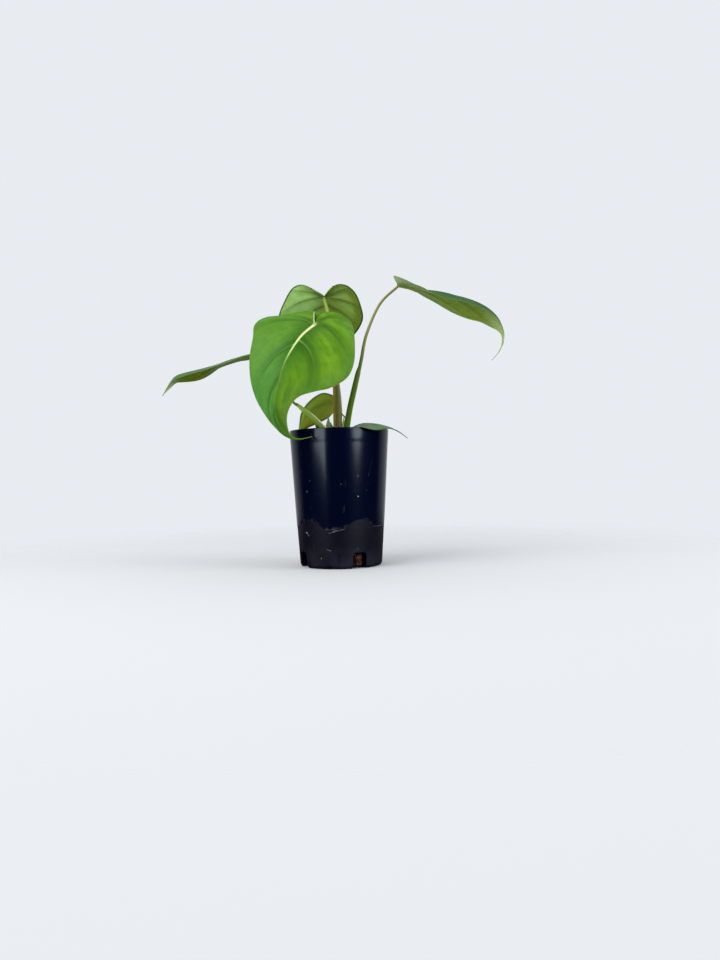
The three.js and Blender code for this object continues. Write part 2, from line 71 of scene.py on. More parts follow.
# The two ends of each scratch, across and up the wall, then its half width and its strength.
SCRATCHES = [
    ((-7.6, 25.9), (3.8, 29.0), 0.42, 0.20),
    ((-9.5, 28.6), (-2.0, 27.8), 0.25, 0.12),
    ((24.0, 29.6), (30.8, 29.7), 0.30, 0.22),
    ((-24.2, 26.4), (-22.6, 23.8), 0.70, 0.32),
    ((-9.0, 14.2), (-6.6, 13.6), 0.55, 0.12),
    ((21.0, 66.0), (24.4, 78.0), 0.22, 0.05),
]
# The place of each speck, across and up the wall, then its half width and its strength.
SPECKS = [
    (13.7, 51.5, 0.60, 0.30),
    (13.6, 66.2, 1.0, 0.035),
    (-23.0, 55.7, 1.1, 0.04),
    (1.6, 60.4, 0.8, 0.03),
]


def add_mesh(name, points, faces, attributes=None, smooth=True):
    """A mesh object from points in millimetres, with a number or a vector kept at each point."""
    mesh = bpy.data.meshes.new(name)
    mesh.from_pydata([tuple(c * MM for c in p) for p in points], [], faces)
    mesh.validate()
    for label, values in (attributes or {}).items():
        vector = np.ndim(values) == 2
        kept = mesh.attributes.new(label, "FLOAT_VECTOR" if vector else "FLOAT", "POINT")
        flat = np.asarray(values, dtype=np.float32).ravel()
        kept.data.foreach_set("vector" if vector else "value", flat)
    mesh.shade_smooth() if smooth else mesh.shade_flat()
    made = bpy.data.objects.new(name, mesh)
    bpy.context.scene.collection.objects.link(made)
    return made


def finish_piece(piece, slot, *nodes):
    """The piece is part of the plant and stands for these solids."""
    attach(piece, "root")
    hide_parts(*nodes)
    return piece


def keep_result(piece):
    """What the modifiers make of the piece becomes its own plain mesh."""
    graph = bpy.context.evaluated_depsgraph_get()
    made = bpy.data.meshes.new_from_object(piece.evaluated_get(graph))
    piece.modifiers.clear()
    piece.data = made
    made.name = piece.name
    return piece


def add_node(tree, kind, inputs=None, **settings):
    """A shader or geometry node. An input takes a value, or an output of another node."""
    made = tree.nodes.new(kind)
    for label, value in settings.items():
        setattr(made, label, value)
    for label, value in (inputs or {}).items():
        if isinstance(value, bpy.types.NodeSocket):
            tree.links.new(value, made.inputs[label])
        else:
            made.inputs[label].default_value = value
    return made


def math_node(tree, operation, *values, clamp=False):
    """Arithmetic on numbers."""
    made = add_node(tree, "ShaderNodeMath", dict(enumerate(values)), operation=operation, use_clamp=clamp)
    return made.outputs[0]


def times(tree, first, *others):
    """The product of the values."""
    for other in others:
        first = math_node(tree, "MULTIPLY", first, other)
    return first


def vector_node(tree, operation, *values):
    """Arithmetic on places and directions. Some of it gives a number."""
    made = add_node(tree, "ShaderNodeVectorMath", dict(enumerate(values)), operation=operation)
    number = operation in ("DOT_PRODUCT", "DISTANCE", "LENGTH")
    return made.outputs["Value" if number else "Vector"]


def fade(tree, value, start, end):
    """0 where the value is at start, 1 where it is at end, with soft shoulders."""
    made = add_node(
        tree,
        "ShaderNodeMapRange",
        {"Value": value, "From Min": start, "From Max": end},
        interpolation_type="SMOOTHSTEP",
    )
    return made.outputs["Result"]


def blend(tree, amount, first, second):
    """The first colour where the amount is 0 and the second where it is 1."""
    made = add_node(tree, "ShaderNodeMix", data_type="RGBA")
    for index, value in ((0, amount), (6, first), (7, second)):
        if isinstance(value, bpy.types.NodeSocket):
            tree.links.new(value, made.inputs[index])
        else:
            made.inputs[index].default_value = value
    return made.outputs[2]


def noise_value(tree, place, scale, detail=3.0, roughness=0.55, distortion=0.0):
    """Cloudy noise between 0 and 1."""
    made = add_node(
        tree,
        "ShaderNodeTexNoise",
        {"Scale": scale, "Detail": detail, "Roughness": roughness, "Distortion": distortion},
    )
    tree.links.new(place, made.inputs["Vector"])
    return made.outputs["Fac"]


def new_material(name):
    """A material with its tree, its Principled shader and the object's own coordinates."""
    made = bpy.data.materials.new(name)
    made.use_nodes = True
    tree = made.node_tree
    shader = tree.nodes["Principled BSDF"]
    place = add_node(tree, "ShaderNodeTexCoord").outputs["Object"]
    return made, tree, shader, place


def stretched(tree, place, scale):
    """The place with each direction scaled, so that a pattern on it is drawn out."""
    return add_node(tree, "ShaderNodeMapping", {"Vector": place, "Scale": scale}).outputs["Vector"]


def attribute(tree, label):
    """The number kept under the label at the points of the mesh."""
    return add_node(tree, "ShaderNodeAttribute", attribute_name=label).outputs["Fac"]


def bump(tree, shader, height, strength, distance):
    """Relief finer than the mesh."""
    depths = {"Height": height, "Strength": strength, "Distance": distance}
    made = add_node(tree, "ShaderNodeBump", depths)
    tree.links.new(made.outputs["Normal"], shader.inputs["Normal"])


def wall_radius(height):
    """The outer radius of the plain taper, without its step and rim band."""
    above = height - STEP_HEIGHT
    if above > 0:
        return STEP_RADIUS + (RIM_RADIUS - STEP_RADIUS) * above / (POT_HEIGHT - STEP_HEIGHT)
    return BASE_RADIUS + (STEP_RADIUS - BASE_RADIUS) * height / STEP_HEIGHT


def step_line(turn):
    """The height of the step at a turn from the front, in degrees: level, with five round arches."""
    rise = 0.0
    for middle in ARCH_TURNS:
        off = (turn - middle + 180.0) % 360.0 - 180.0
        share = max(0.0, 1.0 - (off / ARCH_HALF_WIDTH) ** 2)
        rise = max(rise, ARCH_HEIGHT * share**1.25)
    return STEP_HEIGHT + rise


def corner(radius, size, lift):
    """The section of a rounded corner that turns up from a flat bottom into a wall."""
    turns = [math.pi / 2 * k / 5 for k in range(6)]
    return [(radius - size + size * math.sin(a), lift + size * (1 - math.cos(a))) for a in turns]


def ring_faces(sides, rings):
    """The faces of a closed form made of a first point, rings of points and a last point."""
    faces = []
    last = 1 + rings * sides
    for k in range(sides):
        after = (k + 1) % sides
        faces.append((0, 1 + after, 1 + k))
        for ring in range(rings - 1):
            low, high = 1 + ring * sides, 1 + (ring + 1) * sides
            faces.append((low + k, low + after, high + after, high + k))
        faces.append((last - sides + k, last - sides + after, last))
    return faces


def pot_profile():
    """The section from the middle of the underside, up the outside, over the rim and down the inside.
    Its rows are close together where the step and the rim band cross the wall.
    """
    outer = [(12.0, 0.0), (22.0, 0.0)]
    outer += corner(wall_radius(FOOT_CORNER), FOOT_CORNER, 0.0)
    heights = [4.0 + 2.0 * k for k in range(12)]
    heights += [28.2 + 0.3 * k for k in range(36)]
    heights += [39.5 + 2.5 * k for k in range(21)]
    heights += [90.3, 90.9, 91.5, 92.1, 92.7, 93.5, 96.0, 98.0, 99.4]
    outer += [(wall_radius(z), z) for z in heights]
    lip = [math.pi * k / 6 for k in range(7)]
    middle = RIM_RADIUS - WALL / 2
    rim = [(middle + WALL / 2 * math.cos(a), POT_HEIGHT - WALL / 2 * (1 - math.sin(a))) for a in lip]
    inner_heights = [97.0, 93.0, 88.0] + [80.0 - 10.0 * k for k in range(8)]
    inner = [(wall_radius(z) - WALL - RELIEF, z) for z in inner_heights]
    inner += corner(wall_radius(FOOT_CORNER) - WALL, FOOT_CORNER, FLOOR)[::-1]
    inner += [(18.0, FLOOR), (9.0, FLOOR)]
    return outer, rim, inner


def add_pot():
    """The section turned about the axis. Each point keeps how dull and how scuffed it is."""
    outer, rim, inner = pot_profile()
    profile = outer + rim + inner
    points, dull, scuff = [(0.0, 0.0, 0.0)], [0.0], [0.0]
    for row, (radius, z) in enumerate(profile):
        for k in range(POT_SIDES):
            turn = 360.0 * k / POT_SIDES
            angle = math.radians(turn - 90.0)
            r, shade, wear = radius, 0.0, 0.0
            if FOOT_CORNER < z < POT_HEIGHT - 0.6 and row < len(outer):
                below = step_line(turn) - z
                shade = min(1.0, max(0.0, below / STEP_FADE + 0.5))
                under_band = min(1.0, max(0.0, (POT_HEIGHT - RIM_BAND - z) / BAND_FADE + 0.5))
                r -= RELIEF * shade
                r -= RIM_RELIEF * under_band * (1 - shade)
                wear = math.exp(-((below / SCUFF_WIDTH) ** 2))
            elif row < len(outer):
                r -= RELIEF
                shade = 1.0
            points.append((r * math.cos(angle), r * math.sin(angle), z))
            dull.append(shade)
            scuff.append(wear)
    points.append((0.0, 0.0, FLOOR))
    dull.append(1.0)
    scuff.append(0.0)
    faces = ring_faces(POT_SIDES, len(profile))
    return add_mesh("nursery_pot", points, faces, {"dull": dull, "scuff": scuff})


def notch_cutter():
    """A round-shouldered block for each notch, standing through the foot of the wall."""
    half, top, size = NOTCH_WIDTH / 2, NOTCH_HEIGHT, NOTCH_CORNER
    outline = [(-half, -1.0), (half, -1.0)]
    for side, first in ((1, 0.0), (-1, math.pi / 2)):
        for k in range(7):
            a = first + math.pi / 2 * k / 6
            outline.append((side * (half - size) + size * math.cos(a), top - size + size * math.sin(a)))
    points, faces = [], []
    for turn in NOTCH_TURNS:
        spin = Matrix.Rotation(math.radians(turn), 3, "Z")
        start, count = len(points), len(outline)
        for depth in (BASE_RADIUS - NOTCH_DEPTH, BASE_RADIUS + 6.0):
            points += [spin @ Vector((x, -depth, z)) for x, z in outline]
        faces.append([start + k for k in range(count)][::-1])
        faces.append([start + count + k for k in range(count)])
        for k in range(count):
            after = (k + 1) % count
            faces.append((start + k, start + after, start + count + after, start + count + k))
    return add_mesh("notch_cutter", points, faces, smooth=False)


def cut_notches(pot):
    """The notches go right through the foot of the wall, and their edges are softened."""
    cutter = notch_cutter()
    cut = pot.modifiers.new("Drainage notches", "BOOLEAN")
    cut.object = cutter
    cut.solver = "EXACT"
    keep_result(pot)
    bpy.data.objects.remove(cutter)
    edge = pot.modifiers.new("Softened notch edges", "BEVEL")
    edge.width = 0.22 * MM
    edge.segments = 2
    edge.limit_method = "ANGLE"
    edge.angle_limit = math.radians(50)
    edge.use_clamp_overlap = True
    keep_result(pot)
    pot.data.shade_smooth()
    pot.data.set_sharp_from_angle(angle=math.radians(40))


def wall_mark(tree, place, start, end, half_width):
    """1 on a line drawn on the front of the wall, between two points across and up it in millimetres."""
    flat = vector_node(tree, "MULTIPLY", place, (1.0, 0.0, 1.0))
    first = Vector((start[0], 0.0, start[1])) * MM
    reach = Vector((end[0], 0.0, end[1])) * MM - first
    away = vector_node(tree, "SUBTRACT", flat, first)
    ahead = vector_node(tree, "DOT_PRODUCT", away, reach)
    share = math_node(tree, "DIVIDE", ahead, max(reach.length_squared, 1e-12), clamp=True)
    scaled = {0: reach, "Scale": share}
    spot = add_node(tree, "ShaderNodeVectorMath", scaled, operation="SCALE").outputs[0]
    apart = vector_node(tree, "DISTANCE", away, spot)
    return fade(tree, apart, half_width * MM, half_width * MM * 0.3)


def pot_plastic():
    """Glossy blue-black above the step and duller below it, with dust, specks, pale scratches and a
    painted reflection of the floor in patches at the foot.
    """
    made, tree, shader, place = new_material("pot_plastic")
    dull = attribute(tree, "dull")
    scuff = attribute(tree, "scuff")
    navy = (0.0001, 0.0006, 0.0048, 1.0)
    sooty = (0.0003, 0.0002, 0.0026, 1.0)
    colour = blend(tree, dull, navy, sooty)

    cloudy = noise_value(tree, place, 70.0, 4.0)
    dusty = math_node(tree, "MULTIPLY_ADD", dull, 0.18, 0.02)
    dusty = times(tree, fade(tree, cloudy, 0.46, 0.70), dusty)
    colour = blend(tree, dusty, colour, (0.004, 0.0035, 0.009, 1.0))

    lift = add_node(tree, "ShaderNodeSeparateXYZ", {"Vector": place}).outputs
    # Painted reflection of the floor: lighter in cloudy patches over the lowest twenty millimetres.
    painted_floor_reflection = times(tree, fade(tree, lift["Z"], 0.020, 0.002), fade(tree, cloudy, 0.30, 0.60), 0.5)
    colour = blend(tree, painted_floor_reflection, colour, (0.011, 0.010, 0.018, 1.0))

    broken = fade(tree, noise_value(tree, place, 260.0, 4.0, 0.65), 0.50, 0.62)
    colour = blend(tree, times(tree, scuff, broken, 0.07), colour, (0.17, 0.16, 0.17, 1.0))

    cells = add_node(tree, "ShaderNodeTexVoronoi", {"Vector": place, "Scale": 150.0})
    near = fade(tree, cells.outputs["Distance"], 0.085, 0.04)
    chosen = add_node(tree, "ShaderNodeSeparateColor", {"Color": cells.outputs["Color"]}).outputs["Red"]
    more_below = math_node(tree, "MULTIPLY_ADD", dull, 0.30, 0.14)
    specks = times(tree, near, fade(tree, chosen, 0.80, 0.84), more_below)
    colour = blend(tree, specks, colour, (0.20, 0.21, 0.25, 1.0))

    shaken = add_node(tree, "ShaderNodeTexNoise", {"Vector": place, "Scale": 240.0, "Detail": 2.0})
    shift = vector_node(tree, "SUBTRACT", shaken.outputs["Color"], (0.5, 0.5, 0.5))
    drawn = vector_node(tree, "MULTIPLY_ADD", shift, (0.0016, 0.0016, 0.0016), place)
    front = fade(tree, lift["Y"], 0.0, -0.004)
    patchy = math_node(tree, "MULTIPLY_ADD", broken, 0.7, 0.3)
    for start, end, half_width, strength in SCRATCHES:
        line = wall_mark(tree, drawn, start, end, half_width)
        colour = blend(tree, times(tree, line, front, patchy, strength), colour, (0.34, 0.34, 0.38, 1.0))
    for across, up, half_width, strength in SPECKS:
        spot = wall_mark(tree, drawn, (across, up), (across, up), half_width)
        colour = blend(tree, times(tree, spot, front, strength), colour, (0.45, 0.48, 0.55, 1.0))

    hair = add_node(
        tree,
        "ShaderNodeTexVoronoi",
        {"Vector": stretched(tree, place, (1.0, 1.0, 0.12)), "Scale": 260.0},
        feature="DISTANCE_TO_EDGE",
    )
    hairline = fade(tree, hair.outputs["Distance"], 0.018, 0.0)
    hairline = times(tree, hairline, fade(tree, cloudy, 0.56, 0.66), 0.05)
    colour = blend(tree, hairline, colour, (0.12, 0.12, 0.15, 1.0))
    tree.links.new(colour, shader.inputs["Base Color"])

    smudge = noise_value(tree, stretched(tree, place, (1.0, 1.0, 0.35)), 38.0, 3.0)
    rough = math_node(tree, "MULTIPLY_ADD", dull, 0.26, 0.13)
    rough = math_node(tree, "MULTIPLY_ADD", smudge, 0.08, rough)
    tree.links.new(rough, shader.inputs["Roughness"])
    shader.inputs["Specular IOR Level"].default_value = 0.12
    ripple = noise_value(tree, stretched(tree, place, (1.0, 1.0, 0.2)), 60.0, 2.0)
    grain = times(tree, noise_value(tree, place, 700.0, 2.0), dull, 0.5)
    bump(tree, shader, math_node(tree, "MULTIPLY_ADD", ripple, 0.4, grain), 0.20, 0.0006)
    return made


pot = add_pot()
cut_notches(pot)
pot.data.materials.clear()
pot.data.materials.append(pot_plastic())
finish_piece(pot, "pot_plastic", "pot")


# The potting mix
#
# Coir and fine bark, packed to the wall and settled about nine millimetres below the rim. Its side
# shows in the notches. Loose crumbs, pale grit and coir fibres lie on top and in the notch mouths.
MIX_LEVEL = 91.0
MIX_RELIEF = 1.0
MIX_SIDES = 288
HOLLOW = 5.5
GAP = 0.3
BED_INSIDE = 10.5
BED_OUTSIDE = 32.5
FIBRE_BED_OUTSIDE = 28.5


def mix_height(x, y):
    """Three crossed ripples, as on the solid, with finer lumps on them."""
    lumps = math.sin(x * 0.9 + 1.3 * math.sin(y * 0.5)) + math.sin(y * 1.1 - 0.7 * x)
    lumps += math.sin((x + y) * 0.37)
    fine = noise.noise(Vector((x * 0.55, y * 0.55, 4.0)))
    fine += 0.5 * noise.noise(Vector((x * 1.3, y * 1.3, 9.0)))
    return MIX_LEVEL + MIX_RELIEF * lumps / 3 + 0.55 * fine


def notch_offset(x, y):
    """How far round the pot the nearest notch is, in degrees."""
    turn = math.degrees(math.atan2(x, -y)) % 360
    return min(abs((turn - middle + 180) % 360 - 180) for middle in NOTCH_TURNS)


def washed_out(x, y, z):
    """1 where water has washed the mix back behind a notch, and 0 elsewhere. Two lumps stay in each
    notch, and they are lower in the one on the left.
    """
    off = notch_offset(x, y)
    open_share = min(1.0, max(0.0, (22.0 - off) / 2.0)) * min(1.0, max(0.0, (14.0 - z) / 2.0))
    low_lump = math.exp(-((off / 7.6) ** 2) - ((z - 3.6) / 2.8) ** 2)
    high_lump = math.exp(-((off / 6.6) ** 2) - ((z - 8.2) / 2.4) ** 2)
    lump_height = 0.3 if x < -0.7 else 1.15
    return open_share * (1.0 - min(1.0, lump_height * (low_lump + high_lump)))


def add_mix():
    """The side follows the inside of the pot, and rings on the top close it in the middle."""
    side = corner(wall_radius(FOOT_CORNER) - WALL - GAP, FOOT_CORNER, FLOOR + GAP)
    side += [(wall_radius(z) - WALL - 2 * GAP, z) for z in [4.6 + 0.6 * k for k in range(17)]]
    side += [(wall_radius(z) - WALL - 2 * GAP, z) for z in (16, 20, 29, 50, 70, 86)]
    top_radius = wall_radius(MIX_LEVEL) - WALL - 2 * GAP
    rings = 34
    points, hollow = [(0.0, 0.0, FLOOR + GAP)], [0.0]
    for radius, z in side:
        for k in range(MIX_SIDES):
            a = 2 * math.pi * k / MIX_SIDES
            washed = washed_out(math.cos(a), math.sin(a), z)
            lump = 0.6 * (noise.noise(Vector((k * 0.3, z * 0.9, 2.0))) - 0.5) if 3 < z < 15 else 0.0
            r = radius + lump - HOLLOW * washed
            points.append((r * math.cos(a), r * math.sin(a), z))
            hollow.append(washed)
    for j in range(rings, 0, -1):
        for k in range(MIX_SIDES):
            a = 2 * math.pi * k / MIX_SIDES
            x, y = top_radius * j / rings * math.cos(a), top_radius * j / rings * math.sin(a)
            points.append((x, y, mix_height(x, y)))
            hollow.append(0.0)
    points.append((0.0, 0.0, mix_height(0, 0)))
    hollow.append(0.0)
    faces = ring_faces(MIX_SIDES, len(side) + rings)
    return add_mesh("potting_mix_body", points, faces, {"hollow": hollow})


def coir_skin():
    """Damp brown coir: near-black between the fibres, rust brown on them, with painted shade in the
    hollows behind the notches.
    """
    made, tree, shader, place = new_material("coir")
    shreds = noise_value(tree, place, 420.0, 6.0, 0.7, 1.2)
    patches = noise_value(tree, place, 90.0, 3.0)
    between, on_fibres = (0.010, 0.005, 0.003, 1.0), (0.085, 0.036, 0.016, 1.0)
    colour = blend(tree, fade(tree, shreds, 0.38, 0.66), between, on_fibres)
    damp = times(tree, fade(tree, patches, 0.5, 0.75), 0.6)
    colour = blend(tree, damp, colour, (0.030, 0.016, 0.010, 1.0))
    # Painted shade: near-black where the mix is washed back behind a notch.
    painted_notch_shade = fade(tree, attribute(tree, "hollow"), 0.1, 0.5)
    colour = blend(tree, painted_notch_shade, colour, (0.0015, 0.0009, 0.0007, 1.0))
    tree.links.new(colour, shader.inputs["Base Color"])
    shader.inputs["Roughness"].default_value = 0.92
    shader.inputs["Specular IOR Level"].default_value = 0.2
    bump(tree, shader, shreds, 1.0, 0.0012)
    return made


def crumb_skin(name, dark, light):
    """A loose bit, coloured by the patch of mix that it lies on."""
    made, tree, shader, place = new_material(name)
    patches = noise_value(tree, place, 160.0, 2.0)
    colour = blend(tree, fade(tree, patches, 0.35, 0.65), dark, light)
    tree.links.new(colour, shader.inputs["Base Color"])
    shader.inputs["Roughness"].default_value = 0.88
    bump(tree, shader, noise_value(tree, place, 1500.0, 3.0), 0.6, 0.0004)
    return made


def add_sockets(tree, way, kind, *labels):
    """Named inputs or outputs of a node group."""
    for label in labels:
        tree.interface.new_socket(label, in_out=way, socket_type="NodeSocket" + kind)


def scatter_tree(name, shape):
    """Scatters a small shape over a mesh, at random places, turns and sizes, then makes it one mesh."""
    tree = bpy.data.node_groups.new(name, "GeometryNodeTree")
    add_sockets(tree, "INPUT", "Geometry", "Geometry")
    add_sockets(tree, "INPUT", "Float", "Pieces per square metre", "Smallest size", "Largest size")
    add_sockets(tree, "INPUT", "Int", "Seed")
    add_sockets(tree, "INPUT", "Material", "Finish")
    add_sockets(tree, "OUTPUT", "Geometry", "Geometry")
    given = tree.nodes.new("NodeGroupInput").outputs
    spots = add_node(
        tree,
        "GeometryNodeDistributePointsOnFaces",
        {"Mesh": given["Geometry"], "Density": given["Pieces per square metre"], "Seed": given["Seed"]},
        distribute_method="RANDOM",
    )
    turn = add_node(tree, "FunctionNodeRandomValue", {"Seed": given["Seed"]}, data_type="FLOAT_VECTOR")
    turn.inputs["Min"].default_value = (-0.5, -0.5, 0.0)
    turn.inputs["Max"].default_value = (0.5, 0.5, 2 * math.pi)
    size = add_node(tree, "FunctionNodeRandomValue", {"Seed": given["Seed"]}, data_type="FLOAT")
    tree.links.new(given["Smallest size"], size.inputs[2])
    tree.links.new(given["Largest size"], size.inputs[3])
    laid = add_node(
        tree,
        "GeometryNodeInstanceOnPoints",
        {"Points": spots.outputs["Points"], "Instance": shape(tree), "Scale": size.outputs[1]},
    )
    facing = add_node(
        tree,
        "FunctionNodeRotateRotation",
        {"Rotation": spots.outputs["Rotation"], "Rotate By": turn.outputs[0]},
        rotation_space="LOCAL",
    )
    tree.links.new(facing.outputs["Rotation"], laid.inputs["Rotation"])
    solid = add_node(tree, "GeometryNodeRealizeInstances", {"Geometry": laid.outputs["Instances"]})
    finished = add_node(
        tree,
        "GeometryNodeSetMaterial",
        {"Geometry": solid.outputs["Geometry"], "Material": given["Finish"]},
    )
    out = tree.nodes.new("NodeGroupOutput")
    tree.links.new(finished.outputs["Geometry"], out.inputs["Geometry"])
    return tree


def crumb_shape(tree):
    """A lump of bark or grit, one unit across, with its faces pushed about."""
    ball = add_node(tree, "GeometryNodeMeshIcoSphere", {"Radius": 0.5, "Subdivisions": 2})
    rough = add_node(tree, "ShaderNodeTexNoise", {"Scale": 1.7, "Detail": 2.0})
    centred = vector_node(tree, "SUBTRACT", rough.outputs["Color"], (0.5, 0.5, 0.5))
    pushed = vector_node(tree, "MULTIPLY", centred, (0.9, 0.9, 0.9))
    moved = add_node(tree, "GeometryNodeSetPosition", {"Geometry": ball.outputs["Mesh"], "Offset": pushed})
    flat = {"Geometry": moved.outputs["Geometry"], "Scale": (1.0, 0.75, 0.5)}
    return add_node(tree, "GeometryNodeTransform", flat).outputs["Geometry"]


def fibre_shape(tree):
    """A curled coir fibre, one unit long."""
    line = add_node(
        tree,
        "GeometryNodeCurvePrimitiveBezierSegment",
        {
            "Resolution": 6,
            "Start": (-0.5, 0.0, 0.0),
            "Start Handle": (-0.2, 0.28, 0.10),
            "End Handle": (0.2, -0.26, 0.16),
            "End": (0.5, 0.05, 0.02),
        },
    )
    section = add_node(tree, "GeometryNodeCurvePrimitiveCircle", {"Resolution": 4, "Radius": 0.016})
    strand = add_node(
        tree,
        "GeometryNodeCurveToMesh",
        {"Curve": line.outputs[0], "Profile Curve": section.outputs[0], "Fill Caps": True},
    )
    return strand.outputs["Mesh"]


def scatter(name, bed, shape, density, smallest, largest, seed, finish):
    """Loose bits over a copy of the bed. The sizes are in metres."""
    made = bpy.data.objects.new(name, bed.data.copy())
    bpy.context.scene.collection.objects.link(made)
    layer = made.modifiers.new("Scattered bits", "NODES")
    layer.node_group = scatter_tree(name + "_scatter", shape)
    wanted = {
        "Pieces per square metre": density,
        "Smallest size": smallest,
        "Largest size": largest,
        "Seed": seed,
        "Finish": finish,
    }
    for item in layer.node_group.interface.items_tree:
        if item.in_out == "INPUT" and item.name in wanted:
            layer[item.identifier] = wanted[item.name]
    keep_result(made)
    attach(made, "root")
    return made


def bed_of(body, name, keep):
    """The faces of the mix on which loose bits can lie."""
    copy = bmesh.new()
    copy.from_mesh(body.data)
    away = [f for f in copy.faces if not keep(f.calc_center_median() / MM, f.normal)]
    bmesh.ops.delete(copy, geom=away, context="FACES")
    mesh = bpy.data.meshes.new(name)
    copy.to_mesh(mesh)
    copy.free()
    made = bpy.data.objects.new(name, mesh)
    bpy.context.scene.collection.objects.link(made)
    return made


def on_top(centre, normal):
    return normal.z > 0.4 and centre.z > 85 and BED_INSIDE < math.hypot(*centre.xy) < BED_OUTSIDE


def clear_of_the_wall(centre, normal):
    return on_top(centre, normal) and math.hypot(*centre.xy) < FIBRE_BED_OUTSIDE


def in_a_notch(centre, normal):
    if not 2.5 < centre.z < 10.8 or notch_offset(centre.x, centre.y) >= 9:
        return False
    return washed_out(*centre.xy.normalized(), centre.z) < 0.5


mix = add_mix()
mix.data.materials.append(coir_skin())
finish_piece(mix, "potting_mix", "potting_mix")
bark = crumb_skin("bark_crumb", (0.020, 0.010, 0.006, 1.0), (0.090, 0.045, 0.024, 1.0))
grit = crumb_skin("pale_grit", (0.42, 0.40, 0.36, 1.0), (0.66, 0.64, 0.60, 1.0))
fibre = crumb_skin("coir_fibre", (0.12, 0.030, 0.007, 1.0), (0.32, 0.095, 0.022, 1.0))
top_bed = bed_of(mix, "top_bed", on_top)
fibre_bed = bed_of(mix, "fibre_bed", clear_of_the_wall)
notch_bed = bed_of(mix, "notch_bed", in_a_notch)
scatter("bark_crumbs", top_bed, crumb_shape, 330000.0, 0.0010, 0.0032, 3, bark)
scatter("pale_grit_crumbs", top_bed, crumb_shape, 16000.0, 0.0010, 0.0021, 8, grit)
scatter("coir_fibres", fibre_bed, fibre_shape, 190000.0, 0.0040, 0.0100, 5, fibre)
scatter("notch_crumbs", notch_bed, crumb_shape, 250000.0, 0.0007, 0.0018, 12, bark)
scatter("notch_fibres", notch_bed, fibre_shape, 420000.0, 0.0014, 0.0034, 17, fibre)
scatter("notch_rust_crumbs", notch_bed, crumb_shape, 300000.0, 0.0005, 0.0011, 21, fibre)
for bed in (top_bed, fibre_bed, notch_bed):
    bpy.data.objects.remove(bed)


# The crown
#
# The short stem at soil level from which every leaf grows. It is ringed with the scars of lost
# leaves, and its buried foot is held by the mix.
CROWN_RADIUS = 9.8
CROWN_FOOT = 76.0
CROWN_TOP = 98.0


def add_crown():
    """A lumpy stem with a scar winding round it."""
    sides, rows = 72, 40
    points = [(0.0, 0.0, CROWN_FOOT)]
    for row in range(1, rows):
        up = row / rows
        z = CROWN_FOOT + (CROWN_TOP - CROWN_FOOT) * up
        swell = math.sin(math.pi * up) ** 0.42
        for k in range(sides):
            a = 2 * math.pi * k / sides
            lumps = 0.05 * math.sin(3 * a + 1.0) + 0.04 * math.sin(5 * a + 9 * up)
            scar = 0.035 * math.sin(2 * math.pi * (up * 9 + a / (2 * math.pi)))
            r = (CROWN_RADIUS - 1.0) * swell * (1 + lumps + scar)
            points.append((r * math.cos(a), r * math.sin(a), z))
    points.append((0.0, 0.0, CROWN_TOP))
    return add_mesh("crown_stem", points, ring_faces(sides, rows - 1))


def crown_rind():
    """Corky brown, greenish in patches."""
    made, tree, shader, place = new_material("crown_rind")
    cork = noise_value(tree, place, 300.0, 5.0, 0.6)
    patches = noise_value(tree, place, 110.0, 2.0)
    deep, raised = (0.045, 0.035, 0.014, 1.0), (0.16, 0.115, 0.05, 1.0)
    colour = blend(tree, fade(tree, cork, 0.35, 0.65), deep, raised)
    colour = blend(tree, fade(tree, patches, 0.45, 0.7), colour, (0.10, 0.13, 0.035, 1.0))
    tree.links.new(colour, shader.inputs["Base Color"])
    shader.inputs["Roughness"].default_value = 0.75
    bump(tree, shader, cork, 0.7, 0.0008)
    return made


crown = add_crown()
crown.data.materials.append(crown_rind())
finish_piece(crown, "crown_rind", "crown")


# The front leaf
#
# The largest leaf, hung with its upper face to the front. Its stalk rises up the middle, leans
# over and meets the blade between its two lobes. The blade is soft and leathery: the midrib is
# broad and cream, and the blade rises in a cushion between each pair of side veins.
BLADE_THICKNESS = 0.42
KEEL = 1.2
MIDRIB_END = 0.25
MARGIN_WAVES = 2.5
RIBS = 170
STEPS = 34
STALK_SIDES = 24
STALK_STEPS = 110
SPAN_STEPS = 60
STREAK_SPAN = 25


class SmoothLine:
    """A line through given points, read by the share of its length."""

    def __init__(self, points):
        p = np.array(points, dtype=float)
        ext = np.vstack([2 * p[0] - p[1], p, 2 * p[-1] - p[-2]])
        s = np.linspace(0, 1, SPAN_STEPS, endpoint=False)[:, None]
        runs = []
        for a, b, c, d in zip(ext[:-3], ext[1:-2], ext[2:-1], ext[3:]):
            square, cube = 2 * a - 5 * b + 4 * c - d, 3 * b - a - 3 * c + d
            runs.append(0.5 * (2 * b + (c - a) * s + square * s**2 + cube * s**3))
        self.points = np.vstack([*runs, p[-1:]])
        lengths = np.linalg.norm(np.diff(self.points, axis=0), axis=1)
        self.length = lengths.sum()
        self.shares = np.concatenate([[0], np.cumsum(lengths)]) / self.length

    def at(self, share):
        share = np.asarray(share, dtype=float)
        return np.stack([np.interp(share, self.shares, self.points[:, k]) for k in range(3)], axis=-1)

    def heading(self, share):
        step = self.at(np.clip(share + 0.01, 0, 1)) - self.at(np.clip(share - 0.01, 0, 1))
        return step / np.linalg.norm(step, axis=-1, keepdims=True)


def vein_count(t, f, veins):
    """Counts side veins along the margin: a whole number on a vein and a part number between two.
    Each vein is a pair: its share on the midrib and its share on the margin, further down.
    """
    places = np.array([first + (last - first) * f**1.3 for first, last in veins])
    gaps = np.diff(places)
    below = np.clip((t - places[0]) / gaps[0], -0.46, 0.0)
    beyond = np.clip((t - places[-1]) / gaps[-1], 0.0, 0.46)
    return np.interp(t, places, np.arange(len(veins))) + below + beyond


